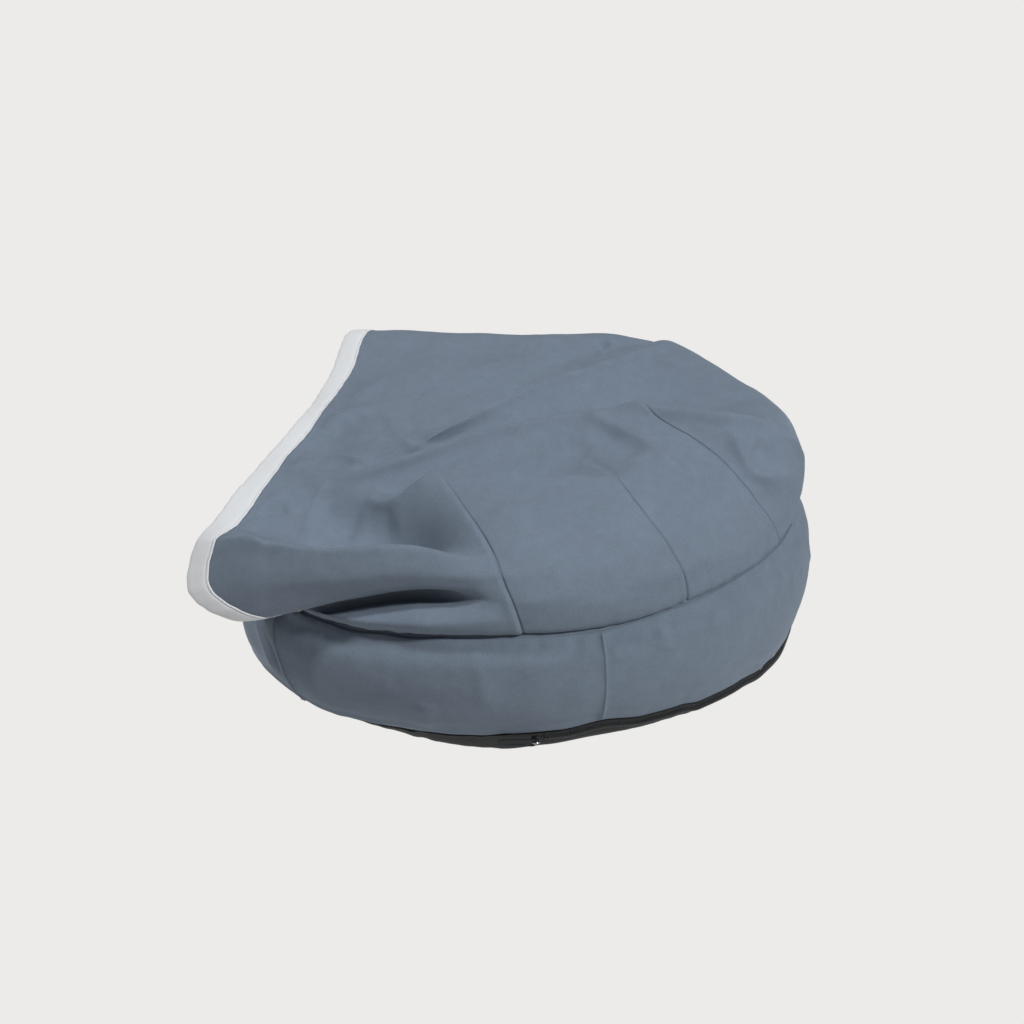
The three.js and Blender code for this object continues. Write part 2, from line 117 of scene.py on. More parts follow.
def hermite(points, at, crest=None):
    """Points on the smooth curves through rows of points, at fractional row numbers."""
    points = np.asarray(points, float)
    at = np.asarray(at, float)
    shape = (-1,) + (1,) * (points.ndim - 1)
    row = np.minimum(at.astype(int), len(points) - 2)
    f = (at - row).reshape(shape)
    ends = np.concatenate([2 * points[:1] - points[1:2], points, 2 * points[-1:] - points[-2:-1]])
    slope = (ends[2:] - ends[:-2]) / 2
    if crest is not None:
        slope = slope * np.reshape(crest, shape)
    return (
        (2 * f**3 - 3 * f**2 + 1) * points[row]
        + (f**3 - 2 * f**2 + f) * slope[row]
        + (3 * f**2 - 2 * f**3) * points[row + 1]
        + (f**3 - f**2) * slope[row + 1]
    )


# The hood's folds. One row for each line that runs from the mouth to the back rim, near side
# first: its name, how round its crest is, and its points. Point 0 is the mouth, 5, 7 and 9
# are the first three darts, 12 is the back rim.
HOOD_LINES = [
    ("near seam", 1.0, [
        rim(-37.6), rim(-31), rim(-24), rim(-15), rim(0), rim(18), rim(35), rim(52), rim(69),
        rim(84), rim(88), rim(91), rim(93)]),
    ("near wall", 1.0, [
        [217, -167, 109], rim(-31.5, 6, 269), rim(-24.5, 10, 271), rim(-15.5, 14, 272),
        rim(-1, 18, 272), [258, 80, 149], rim(35, 19, 269), rim(52, 17, 265), rim(69, 16, 261),
        [27, 259, 151], rim(89, 15, 266), rim(93, 10, 270), rim(95)]),
    ("pinch", 0.7, [
        [226, -171, 113], [227, -150, 117], [232, -124, 123], [236, -88, 134], [238, -14, 155],
        [256, 74, 165], [215, 151, 165], [161, 205, 165], [90, 235, 165], [26, 252, 161],
        polar(90, 260, 162), polar(94.5, 271, 154), rim(97)]),
    ("lip", 1.0, [
        [258, -202, 111], [257, -178, 117], [254, -150, 125], [250, -100, 141], [253, -20, 167],
        [250, 66, 178], [206, 145, 182], [152, 191, 182], [81, 224, 180], [23, 240, 174],
        polar(91, 256, 177), polar(96, 273, 163), rim(99)]),
    ("front", 1.0, [
        [250, -251, 130], [260, -188, 153], [261, -155, 158], [261, -104, 166], [259, -27, 184],
        [246, 61, 187], [200, 140, 189], [146, 183, 189], [78, 214, 188], [20, 234, 181],
        polar(91.5, 254, 184), polar(96.7, 274, 167), rim(100)]),
    ("front fold", 0.5, [
        [220, -253, 167], [242, -190, 190], [248, -155, 191], [248, -105, 191], [245, -32, 201],
        [236, 54, 195], [190, 133, 196], [137, 173, 195], [73, 202, 195], [17, 226, 187],
        polar(92, 250, 190), polar(97.5, 274, 170), rim(101)]),
    ("hollow", 1.0, [
        [190, -244, 181], [210, -192, 180], [214, -155, 180], [211, -100, 166], [208, -38, 166],
        [212, 31, 210], [162, 118, 211], [117, 148, 209], [60, 175, 209], [2, 200, 204],
        polar(94.5, 240, 204), polar(99.5, 274, 177), rim(103)]),
    ("second fold", 0.4, [
        [149, -241, 190], [165, -192, 187], [168, -152, 187], [150, -112, 199], [166, -78, 206],
        [145, -31, 228], [128, 40, 228], [93, 123, 218], [46, 143, 221], [-7, 168, 220],
        polar(98, 238, 213), polar(101.5, 274, 183), rim(105.5)]),
    ("second dip", 1.0, [
        [110, -238, 195], [128, -190, 193], [150, -151, 193], [132, -112, 198], [130, -84, 194],
        [108, -35, 206], [92, 25, 207], [62, 78, 213], [24, 104, 227], [-14, 132, 234],
        polar(101, 238, 217), polar(103, 274, 186), rim(108)]),
    ("main fold", 0.45, [
        [77, -235, 200], [105, -190, 199], [128, -150, 201], [112, -114, 207], [92, -82, 215],
        [55, -34, 225], [30, 12, 232], [8, 50, 235], [-10, 85, 237], [-26, 116, 238],
        [-52, 225, 220], polar(104, 272, 190), rim(111)]),
    ("main dip", 1.0, [
        [30, -235, 203], [60, -188, 197], [88, -150, 199], [86, -115, 200], [64, -80, 210],
        [28, -36, 216], [5, 0, 215], [-25, 38, 213], [-55, 75, 210], [-75, 115, 208],
        polar(118, 241, 214), polar(121, 273, 178), rim(124)]),
    ("far fold", 0.5, [
        [-30, -236, 206], [5, -185, 209], [45, -140, 211], [52, -105, 214], [38, -73, 222],
        [-5, -40, 228], [-55, -8, 233], [-95, 25, 235], [-130, 50, 235], [-165, 74, 235],
        [-205, 101, 230], polar(150, 272, 185), rim(148)]),
    ("flat", 1.0, [
        [-99, -244, 212], [-85, -185, 213], [-60, -140, 214], [-50, -105, 215], [-58, -72, 216],
        [-90, -35, 220], [-125, -15, 221], [-155, 5, 222], [-185, 30, 222], [-205, 52, 222],
        polar(159, 242, 219), polar(161, 272, 178), rim(161)]),
    ("far shoulder", 1.0, [
        [-172, -252, 226], [-180, -200, 229], [-187, -158, 227], [-194, -120, 226],
        [-199, -85, 225], [-206, -50, 226], [-213, -28, 226], [-219, -5, 226], [-224, 20, 226],
        [-228, 42, 222], polar(165, 250, 208), polar(167, 272, 172), rim(167)]),
    ("far wall", 1.0, [
        [-212, -225, 180], rim(213, 45, 274), rim(206, 45, 274), rim(200, 45, 274),
        rim(194, 45, 274), rim(189, 45, 274), rim(185, 45, 274), rim(181, 45, 274),
        rim(178, 44, 274), rim(175.5, 42, 274), rim(174, 38, 274), rim(172.5, 30, 273), rim(170.5)]),
    ("far seam", 1.0, [
        rim(218), rim(212), rim(206), rim(200), rim(195), rim(191), rim(187), rim(183), rim(180),
        rim(178), rim(176), rim(174.5), rim(173)]),
]

NET = np.array([[tuple(point) for point in points] for _, _, points in HOOD_LINES], float)
CREST = [crest for _, crest, _ in HOOD_LINES]
LAST_LINE = len(NET) - 1
LAST_STATION = NET.shape[1] - 1


def fold_path(name, stations, shift=(0, 0, 0)):
    """Points of one of the hood's lines at some of its stations, moved by a shift."""
    row = [line[0] for line in HOOD_LINES].index(name)
    return (hermite(NET[row], stations) + np.array(shift)).tolist()


# Small folds laid on the big ones: name, height (minus is a trough), half width, path. The
# narrow ones are crisp, like cloth that is folded over. A place of two values was picked in
# the photo, in pixels from its top left corner, and is cast on to the cloth when that is
# built; a place of three is in millimetres.
HOOD_CREASES = [
    ("rim of the main fold", 6.0, 8,
     [(331, 483), (350, 477), *fold_path("main fold", (3, 4, 4.6, 5, 6, 7, 8)), (634, 406)]),
    ("main fold to the back", 5.5, 8,
     [*fold_path("main fold", (8.1,)), (629, 406), (642, 408), (666, 411), (703, 415), (735, 419),
      (764, 423), (786, 427)]),
    ("wrinkle from the trim to the main fold", 4.0, 5,
     [(286, 457), (300, 457), (315, 457), (348, 458), (365, 462), (375, 469)]),
    ("fold in that wrinkle", -2.6, 6, [(322, 470), (340, 465), (356, 464)]),
    ("second wrinkle from the trim", 2.8, 6,
     [(264, 480), (280, 472), (292, 467), (308, 462), (326, 459)]),
    ("low wrinkle by the trim", 3.0, 6, [(246, 500), (258, 499), (270, 498), (284, 495)]),
    ("trough under the low wrinkle", -3.4, 9, [(258, 512), (272, 511), (290, 508)]),
    ("upper ridge by the trim", 4.0, 8,
     [(303, 432), (315, 428), (337, 417), (362, 410), (376, 407)]),
    ("trough under the upper ridge", -3.0, 13, [(330, 432), (350, 424), (368, 418)]),
    ("curved fold into the main fold", 3.6, 8,
     [(387, 408), (391, 421), (402, 435), (418, 444), (438, 450)]),
    ("trough behind the curved fold", -3.6, 9, [(405, 424), (414, 434), (424, 438)]),
    ("broad fold near the far side", 4.2, 9,
     [(346, 399), (362, 394), (382, 383), (402, 378), (420, 381)]),
    ("trough under the broad fold", -2.6, 12, [(392, 395), (410, 392), (428, 396)]),
    ("rim of the far fold", 6.0, 8,
     [*fold_path("far fold", (3.1, 4, 4.65, 5.3)), (531, 387), (559, 379), (587, 369), (620, 361)]),
    ("end of the far fold", 3.6, 5,
     [(587, 369), (600, 366), (621, 360), (646, 351), (668, 345), (676, 343)]),
    ("fold beside that end", 3.0, 5,
     [(652, 354), (658, 357), (666, 359), (682, 358), (700, 359)]),
    ("trough above that fold", -2.6, 8, [(656, 350), (668, 352), (684, 354)]),
    ("streak on the far top", 2.6, 5, [(597, 356), (606, 352), (611, 346), (616, 342)]),
    ("hollow by the streak", -3.0, 6, [(598, 350), (603, 346), (607, 341)]),
    ("dimple on the far top", -2.4, 6, [(519, 344), (529, 348), (540, 343)]),
    ("rim of the second fold", 5.0, 7,
     [*fold_path("second fold", (3.1, 3.6, 4.15, 4.65, 5)), (140, 0, 231),
      *fold_path("second fold", (6, 6.45))]),
    ("left edge of the hollow", 3.0, 6,
     [(332, 483), (320, 491), (311, 511), (309, 528), (320, 542)]),
    ("bottom of the hollow", -3, 22, [(340, 528), (370, 530), (400, 520)]),
    ("left part of the hollow", -6, 19, [(318, 482), (328, 505), (340, 524), (362, 534)]),
    ("trough behind the main fold", -9, 21,
     fold_path("main fold", (2.3, 3, 4, 4.6, 5, 6, 7, 8, 8.7), (-23, -8, -1.5))),
    ("trough behind the far fold", -8, 21,
     fold_path("far fold", (3.1, 4, 4.65, 5.3, 6, 6.6, 7.3, 8.2), (-22, -8, -1))),
    ("trough behind the second fold", -7, 17,
     fold_path("second fold", (4.65, 5, 5.45, 6, 6.45, 6.7), (-21, -8, 1))),
    ("rim of the front fold", 3.2, 6,
     [(228, 522), (240, 532), (259, 542), (292, 547), (337, 551),
      *fold_path("front fold", (3.7, 4.1, 4.5, 4.85))]),
    ("trough above the front fold", -2.5, 9, [(250, 527), (280, 532), (310, 536)]),
    ("slot under the lip", -6, 7,
     [(240, -150, 116), (330, 608), (360, 601), (400, 596), (440, 597), (480, 600)]),
    ("edge of the lip", 2.4, 6,
     [(247, 616), (292, 607), (337, 597), (376, 588), (418, 584), (447, 586), (478, 594)]),
    ("branch of the main fold", 4.4, 7,
     [*fold_path("main fold", (7.4,)), (590, 416), (601, 420), (621, 429), (642, 440), (658, 453),
      (670, 463), (682, 472)]),
    ("trough under the branch", -4.0, 13, [(592, 428), (608, 436), (626, 446), (640, 456)]),
    ("arch at the end of the second dart", -2.4, 2.6,
     [(622, 482), (612, 473), (601, 466), (591, 462), (580, 461)]),
    ("rim under that arch", 1.6, 5, [(612, 480), (600, 472), (590, 468), (576, 470)]),
    ("dent before the arch", -2.6, 12, [(560, 445), (575, 448), (592, 452)]),
    ("ridge by the third dart", 3.0, 7,
     [(728, 428), (735, 436), (740, 450), (747, 465), (757, 475), (775, 477), (796, 478)]),
    ("hollow by that ridge", -4.0, 14, [(752, 445), (765, 450), (780, 455)]),
    ("end of the second fold", 2, 10, [*fold_path("second fold", (6.3, 6.55)), (592, 480)]),
    ("soft ridge on the far side", 2.5, 14, [(455, 380), (480, 372), (510, 360)]),
    ("glow beside the first dart", 2, 14, [(498, 500), (512, 512), (530, 520)]),
    ("wave in the back", 3, 16, [(-120, 180, 214), (-150, 205, 190), (-170, 215, 165)]),
    ("second wave in the back", -3, 15, [(-70, 190, 208), (-80, 225, 185), (-90, 250, 165)]),
    ("wave in the far wall", 3, 15, [(-240, 40, 215), (-262, 40, 190), (-270, 38, 160)]),
    ("second wave in the far wall", -3, 14, [(-232, -60, 215), (-258, -62, 185), (-268, -62, 150)]),
    ("third wave in the far wall", 2.5, 13,
     [(-215, -130, 218), (-236, -134, 185), (-242, -140, 150)]),
]

# Darts are sewn troughs that end in the cloth: the line or station they follow, where they
# end, and how deep they are.
STATION_DARTS = [(5, 7.0, 1.8), (7, 7.6, 1.8), (9, 9.4, 1.8)]
LINE_DARTS = [(12, 9.0, 1.8)]

# The pad's wall seams: direction at the top, direction at the bottom, depth.
PANEL_SEAMS = [(33.0, 32.7, 1.6), (125, 125, 1.6), (217, 217, 1.6), (-42.0, -32.0, 1.4)]
# The wall's small creases, in the same form.
WALL_CREASES = [
    ("ridge by the near mouth seam", 2.5, 5, [(263, 622), (272, 650), (284, 678)]),
    ("dent by that ridge", -2.5, 6, [(190, -212, 84), (206, -200, 60), (218, -186, 34)]),
    ("pucker 1", -2, 5, [(613, 642), (617, 656), (228, 162, 100)]),
    ("pucker 2", -1.8, 5, [(638, 632), (642, 642)]),
    ("pucker 3", -2.4, 6, [(656, 627), (666, 642), (200, 198, 100)]),
    ("pucker 4", -1.6, 4, [(674, 620), (682, 634)]),
    ("pucker 5", -2, 6, [(719, 602), (714, 618), (156, 232, 100)]),
    ("upright wrinkle 1", -1.6, 5, [(757, 570), (763, 588), (768, 604)]),
    ("upright wrinkle 2", -2, 4, [(773, 556), (779, 575), (783, 596)]),
    ("upright wrinkle 3", -2, 4, [(785, 548), (791, 570), (794, 592)]),
    ("upright wrinkle 4", -1.5, 4.5, [(796, 540), (801, 560), (803, 580)]),
    ("upright wrinkle 5", -2, 5, [(-40, 268, 122), (-38, 276, 100), (-42, 279, 74)]),
    ("soft crease", -1.6, 8, [(474, 645), (477, 665), (484, 692), (276, 54, 62)]),
    ("soft bulge", 1.6, 18, [(505, 650), (512, 680), (268, 80, 66)]),
    ("dent over the low edge", -2, 9, [(425, 728), (428, 716), (424, 700)]),
    ("dent by the front seam", -1.6, 12, [(240, 130, 60), (246, 128, 90)]),
    ("far wrinkle 1", -2, 6, [(-150, 226, 120), (-158, 230, 100), (-160, 230, 76)]),
    ("far wrinkle 2", -2, 6, [(-262, 60, 118), (-272, 62, 96), (-272, 64, 70)]),
    ("far wrinkle 3", -2, 6, [(-255, -96, 112), (-264, -100, 92), (-264, -102, 66)]),
    ("mouth wrinkle 1", -1.8, 7, [(-80, -262, 92), (-86, -270, 74), (-88, -270, 50)]),
    ("mouth wrinkle 2", -1.8, 7, [(60, -266, 92), (64, -272, 70), (66, -272, 46)]),
]

# The hollow between the lip and the second fold is drawn smooth: where, how wide, how often.
HOLLOW_CENTRE = (178, -85, 190)
HOLLOW_REACH = 46
HOLLOW_ROUNDS = 100
# Small folds start past the mouth's trim: length from the mouth's edge, and length to full.
CREASE_START = 27
CREASE_EASE = 14


def hood_grid(stations, lines):
    """The hood's smooth outer face, as rows of points from mouth to back."""
    along = hermite(NET.transpose(1, 0, 2), stations)
    return hermite(along.transpose(1, 0, 2), lines, CREST)


def outward(grid, wrap=False):
    """Unit normals of a grid of points. wrap says that the last column meets the first."""
    if wrap:
        along = np.roll(grid, -1, 1) - np.roll(grid, 1, 1)
    else:
        along = np.gradient(grid, axis=1)
    across = np.gradient(grid, axis=0)
    normal = np.cross(along, across)
    return normal / np.maximum(np.linalg.norm(normal, axis=2, keepdims=True), 1e-9)


def run_of(grid, axis):
    """Length of cloth from the first row or column to each point."""
    steps = np.linalg.norm(np.diff(grid, axis=axis), axis=2)
    start = np.zeros_like(np.take(steps, [0], axis=axis))
    return np.concatenate([start, np.cumsum(steps, axis=axis)], axis=axis)


def bell(distance, width, power=2.0):
    """1 at a line, fading to 0 over a width."""
    return np.exp(-np.abs(distance / width) ** power)


def lumps(points, size, seed):
    """Soft noise from -1 to 1; size is the width of its lumps."""
    shift = Vector((17.3 * seed, 7.7 * seed, 3.1 * seed))
    values = [noise.noise(Vector(point) + shift) for point in points.reshape(-1, 3) / size]
    return np.array(values).reshape(points.shape[:-1])


def crease_rise(points, creases):
    """Height that small folds add at each point. They fade at both ends."""
    rise = np.zeros(points.shape[:-1])
    for _, height, width, path in creases:
        count = 6 * (len(path) - 1)
        route = hermite(path, np.linspace(0, len(path) - 1, count + 1))
        near = np.all((points > route.min(0) - 3 * width) & (points < route.max(0) + 3 * width), -1)
        spots = points[near]
        best = np.full(len(spots), np.inf)
        place = np.zeros(len(spots))
        for k in range(count):
            step = route[k + 1] - route[k]
            t = np.clip((spots - route[k]) @ step / (step @ step), 0, 1)
            distance = np.linalg.norm(spots - route[k] - t[:, None] * step, axis=1)
            closer = distance < best
            best = np.where(closer, distance, best)
            place = np.where(closer, (k + t) / count, place)
        fade = np.clip(np.minimum(place, 1 - place) / 0.25, 0, 1)
        sharp = 1.3 if width <= 6 else 1.8
        rise[near] += height * bell(best, width, sharp) * fade * fade * (3 - 2 * fade)
    return rise


def dart_drop(distance, reach, depth):
    """Depth of a sewn dart: a narrow groove, puffed on its near side and pulled in on the other."""
    groove = depth * bell(distance, 1.0)
    pull = 1.3 * bell(distance, np.where(distance < 0, 3.0, 13))
    puff = 0.7 * bell(distance + 4.5, 4)
    return (groove + pull - puff) * np.clip(reach, 0, 1)


def steps_with(last, per_row, places, offsets):
    """Fractional row numbers, finer beside the places given."""
    values = set(np.round(np.linspace(0, last, last * per_row + 1), 6))
    for place in places:
        values.update(round(place + side * offset, 6) for offset in offsets for side in (-1, 1))
    return np.array(sorted(v for v in values if 0 <= v <= last))


FINE = (0.0, 0.008, 0.016, 0.026, 0.04, 0.056, 0.1)
HOOD_STATIONS = steps_with(LAST_STATION, 19, [5, 7, 9], FINE)
HOOD_STATIONS = HOOD_STATIONS[HOOD_STATIONS > 0.06]
HOOD_ROWS = steps_with(LAST_LINE, 15, [12], FINE)
HOOD_ROWS = np.unique(np.concatenate([HOOD_ROWS, [0.03, 0.12, 14.93]]))


def camera_axes(azimuth, elevation, roll):
    """Unit vectors to the camera's right, up and back. Angles in radians."""
    flat = math.cos(elevation)
    back = Vector((math.sin(azimuth) * flat, -math.cos(azimuth) * flat, math.sin(elevation)))
    level = Vector((math.cos(azimuth), math.sin(azimuth), 0))
    raised = back.cross(level)
    right = level * math.cos(roll) - raised * math.sin(roll)
    up = level * math.sin(roll) + raised * math.cos(roll)
    return right, up, back


def cast_paths(creases, grid):
    """Small folds with the places that were picked in the photo cast on to a smooth face."""
    face = BVHTree.FromPolygons(grid.reshape(-1, 3).tolist(), quads(*grid.shape[:2]))
    angles = (CAMERA_AZIMUTH, CAMERA_ELEVATION, CAMERA_ROLL)
    right, up, back = camera_axes(*map(math.radians, angles))
    eye = Vector(CAMERA_AIM) + back * CAMERA_DISTANCE

    def spot(place):
        if len(place) == 3:
            return place
        x, y = (value - PHOTO_SIDE / 2 for value in place)
        return face.ray_cast(eye, right * x / PHOTO_FOCUS - up * y / PHOTO_FOCUS - back)[0]

    return [(name, height, width, [tuple(spot(place)) for place in path])
            for name, height, width, path in creases]


def eased(points):
    """A grid of points with the cloth of the hollow drawn smooth."""
    away = np.linalg.norm(points - np.array(HOLLOW_CENTRE), axis=-1)[1:-1, 1:-1, None]
    share = 0.5 * bell(away, HOLLOW_REACH, 4)
    for _ in range(HOLLOW_ROUNDS):
        beside = points[2:, 1:-1] + points[:-2, 1:-1] + points[1:-1, 2:] + points[1:-1, :-2]
        points[1:-1, 1:-1] += share * (beside / 4 - points[1:-1, 1:-1])
    return points


def hood_outer():
    """The hood's outer face with its darts, small folds and unevenness, and its normals."""
    grid = hood_grid(HOOD_STATIONS, HOOD_ROWS)
    creases = cast_paths(HOOD_CREASES, grid)
    grid = eased(grid)
    normal = outward(grid)
    along = run_of(grid, 1)
    across = run_of(grid, 0)
    station = HOOD_STATIONS[None, :]
    line = HOOD_ROWS[:, None]
    rise = crease_rise(grid, creases) * np.clip((along - CREASE_START) / CREASE_EASE, 0, 1)
    for at, end, depth in STATION_DARTS:
        here = along[:, [int(np.argmin(np.abs(HOOD_STATIONS - at)))]]
        rise -= dart_drop(along - here, (end - line) / 1.2, depth)
    for at, start, depth in LINE_DARTS:
        here = across[[int(np.argmin(np.abs(HOOD_ROWS - at)))], :]
        rise -= dart_drop(across - here, (station - start) / 0.8, depth)
    seam = np.minimum(np.minimum(across, across[-1:] - across), along[:, -1:] - along)
    turn = np.degrees(np.arctan2(grid[..., 1], grid[..., 0]))
    mouth = np.clip((along - CREASE_START) / 16, 0, 1)
    rise += puckers(turn, 3) * 0.9 * bell(seam, 16, 1.3) * mouth
    rise -= 3.4 * bell(seam, 3.2, 1.2)
    rise += cloth_rise(grid, along) + 0.12 * lumps(grid, 7, 3)
    rise += 0.3 * np.sin(across / 4.1 + 2 * np.sin(across / 23)) * bell(along - 30, 9)
    return grid + normal * rise[..., None], normal


def puckers(degrees, seed):
    """Uneven gathers round the bed, from -1 to 1."""
    angle = np.radians(degrees)
    total = np.zeros_like(angle)
    for k, waves in enumerate((37, 53, 71, 97)):
        swell = 0.5 + 0.5 * np.sin((3 + k) * angle + seed)
        total += np.sin(waves * angle + seed * (k + 1.7)) * swell
    return total / 2.6


def quads(rows, columns, start=0, wrap=False):
    """Four-sided faces of a grid of points."""
    i = np.arange(rows - 1)[:, None]
    j = np.arange(columns if wrap else columns - 1)[None, :]
    a = i * columns + j
    b = i * columns + (j + 1) % columns
    return (np.stack([a, b, b + columns, a + columns], -1).reshape(-1, 4) + start).tolist()


def tube_faces(rows, columns, start=0):
    """Faces of a tube: a grid of points whose last column meets the first, and its two ends."""
    last = start + (rows - 1) * columns
    ends = [[start + k for k in range(columns)], [last + k for k in reversed(range(columns))]]
    return quads(rows, columns, start, wrap=True) + ends


def cloth_rise(grid, along):
    """Unevenness that the hood and its trim share. It is slight beside the mouth."""
    return (0.8 * lumps(grid, 46, 1) + 0.3 * lumps(grid, 17, 2)) * np.clip(along / 70, 0.3, 1)


def shell_faces(rows, columns):
    """Faces of a closed solid: a front grid, then a back grid of every second row and column."""
    front = np.arange(rows * columns).reshape(rows, columns)
    half_rows, half_columns = (rows + 1) // 2, (columns + 1) // 2
    back = np.arange(half_rows * half_columns).reshape(half_rows, half_columns) + front.size

    def edge(index):
        return [*index[0, :-1], *index[:-1, -1], *index[-1, :0:-1], *index[:0:-1, 0]]

    near, far = edge(front), edge(back)
    sides = []
    for k in range(len(far)):
        ring = [near[2 * k], near[2 * k + 1], near[(2 * k + 2) % len(near)]]
        sides.append([int(i) for i in (*ring, far[(k + 1) % len(far)], far[k])])
    backs = [face[::-1] for face in quads(half_rows, half_columns, front.size)]
    return quads(rows, columns) + backs + sides


def make_piece(name, points, faces, finish, uv=None):
    """A smooth mesh object from points in millimetres."""
    mesh = bpy.data.meshes.new(name)
    mesh.from_pydata((np.reshape(points, (-1, 3)) / 1000).tolist(), [], faces)
    work = bmesh.new()
    work.from_mesh(mesh)
    bmesh.ops.recalc_face_normals(work, faces=work.faces)
    work.to_mesh(mesh)
    work.free()
    mesh.shade_smooth()
    if uv is not None:
        layer = mesh.uv_layers.new(name="UVMap")
        corner = np.empty(len(mesh.loops), np.int32)
        mesh.loops.foreach_get("vertex_index", corner)
        layer.data.foreach_set("uv", np.reshape(uv, (-1, 2))[corner].ravel())
    piece = bpy.data.objects.new(name, mesh)
    bpy.context.scene.collection.objects.link(piece)
    mesh.materials.append(finish)
    return piece


def linear(red, green, blue):
    """A colour for the shaders from the 0 to 255 values that a screen shows."""
    return tuple(((c / 255 + 0.055) / 1.055) ** 2.4 for c in (red, green, blue))


class Signal:
    """A node's output that can be used in sums."""

    def __init__(self, finish, socket):
        self.finish = finish
        self.socket = socket

    def _sum(self, operation, a, b):
        return self.finish.node("ShaderNodeMath", {"operation": operation}, {0: a, 1: b})

    def __add__(self, other):
        return self._sum("ADD", self, other)

    __radd__ = __add__

    def __sub__(self, other):
        return self._sum("SUBTRACT", self, other)

    def __mul__(self, other):
        return self._sum("MULTIPLY", self, other)

    __rmul__ = __mul__


class Finish:
    """A material whose nodes are written as sums."""

    def __init__(self, name, roughness=0.9, **constants):
        self.material = bpy.data.materials.new(name)
        self.material.use_nodes = True
        self.tree = self.material.node_tree
        self.shader = self.tree.nodes["Principled BSDF"]
        self.shader.inputs["Roughness"].default_value = roughness
        for key, value in constants.items():
            self.shader.inputs[key.replace("_", " ")].default_value = value

    def node(self, kind, settings=None, inputs=None, output=0):
        """One node: its settings, the values or links of its sockets, and the output wanted."""
        made = self.tree.nodes.new(kind)
        for key, value in (settings or {}).items():
            setattr(made, key, value)
        for key, value in (inputs or {}).items():
            if isinstance(value, Signal):
                self.tree.links.new(value.socket, made.inputs[key])
            else:
                made.inputs[key].default_value = value
        return Signal(self, made.outputs[output])

    def place(self, kind="Object"):
        """Where a point is on the piece: Object in metres, or UV."""
        return self.node("ShaderNodeTexCoord", output=kind)

    def speckle(self, where, scale, detail=2.0, distortion=0.0):
        """Noise from 0 to 1."""
        inputs = {"Vector": where, "Scale": scale, "Detail": detail, "Distortion": distortion}
        return self.node("ShaderNodeTexNoise", inputs=inputs)

    def threads(self, where, scale, direction):
        """Parallel threads from 0 to 1."""
        settings = {"bands_direction": direction, "wave_profile": "SIN"}
        return self.node("ShaderNodeTexWave", settings, {"Vector": where, "Scale": scale}, "Fac")

    def tint(self, colour, amount):
        """A colour made lighter or darker by an amount."""
        settings = {"operation": "SCALE"}
        inputs = {0: (*colour,)[:3], "Scale": amount}
        return self.node("ShaderNodeVectorMath", settings, inputs)

    def clamp(self, value):
        """A number kept between 0 and 1."""
        return self.node("ShaderNodeClamp", inputs={0: value})

    def feed(self, socket, value):
        """Links a sum to one of the shader's sockets."""
        self.tree.links.new(value.socket, self.shader.inputs[socket])

    def bumps(self, height, distance, strength=1.0):
        """Turns a height from 0 to 1 into relief of that depth in metres."""
        inputs = {"Height": height, "Distance": distance, "Strength": strength}
        self.feed("Normal", self.node("ShaderNodeBump", inputs=inputs))


def suede(name, colour):
    """Short-pile suede: brushed patches, a fine mottle and a bloom of light at grazing angles."""
    finish = Finish(name, 0.88, Sheen_Weight=0.22, Sheen_Roughness=0.3, Specular_IOR_Level=0.2)
    finish.shader.inputs["Sheen Tint"].default_value = (0.75, 0.85, 1, 1)
    where = finish.place()
    brushed = finish.speckle(where, 9, 3, 0.6)
    mottle = finish.speckle(where, 90, 4)
    pile = finish.speckle(where, 900, 3)
    shade = 1 + 0.22 * (brushed - 0.5) + 0.22 * (mottle - 0.5) + 0.5 * (pile - 0.5)
    finish.feed("Base Color", finish.tint(colour, shade))
    finish.feed("Roughness", finish.clamp(0.8 + 0.25 * mottle))
    fine = finish.speckle(where, 2600, 2)
    finish.bumps(0.5 * pile + 0.35 * fine + 0.5 * mottle, 0.0006, 0.45)
    return finish.material


def binding(name, colour):
    """Off-white binding tape with fine cross ribs."""
    finish = Finish(name, 0.82, Sheen_Weight=0.15, Sheen_Roughness=0.5, Specular_IOR_Level=0.25)
    where = finish.place("UV")
    ribs = finish.threads(where, 520, "X")
    yarns = finish.threads(where, 520, "Y")
    stain = finish.speckle(finish.place(), 16, 4)
    fuzz = finish.speckle(finish.place(), 1600, 2)
    shade = 0.95 + 0.08 * (stain - 0.5) + 0.06 * ribs + 0.04 * yarns + 0.08 * (fuzz - 0.5)
    finish.feed("Base Color", finish.tint(colour, shade))
    finish.bumps(0.6 * ribs + 0.4 * yarns + 0.4 * fuzz, 0.0003, 0.5)
    return finish.material


def black_cloth(name, colour, scale=420, roughness=0.78):
    """Plain-woven black cloth."""
    finish = Finish(name, roughness, Sheen_Weight=0.1, Specular_IOR_Level=0.3)
    where = finish.place()
    warp = finish.threads(where, scale, "X")
    weft = finish.threads(where, scale, "Y")
    dust = finish.speckle(where, 40, 5)
    shade = 0.8 + 0.25 * warp * weft + 0.5 * (dust - 0.5)
    finish.feed("Base Color", finish.tint(colour, shade))
    finish.feed("Roughness", finish.clamp(0.68 + 0.25 * dust))
    finish.bumps(warp * weft, 0.0003, 0.5)
    return finish.material


def coil_nylon(name, colour):
    """Dark nylon with a slight shine and worn tops."""
    finish = Finish(name, 0.42, Specular_IOR_Level=0.5)
    where = finish.place()
    worn = finish.speckle(where, 300, 3)
    finish.feed("Base Color", finish.tint(colour, 0.8 + 0.5 * worn))
    finish.feed("Roughness", finish.clamp(0.3 + 0.3 * worn))
    finish.bumps(finish.speckle(where, 1800, 2), 0.0001, 0.3)
    return finish.material


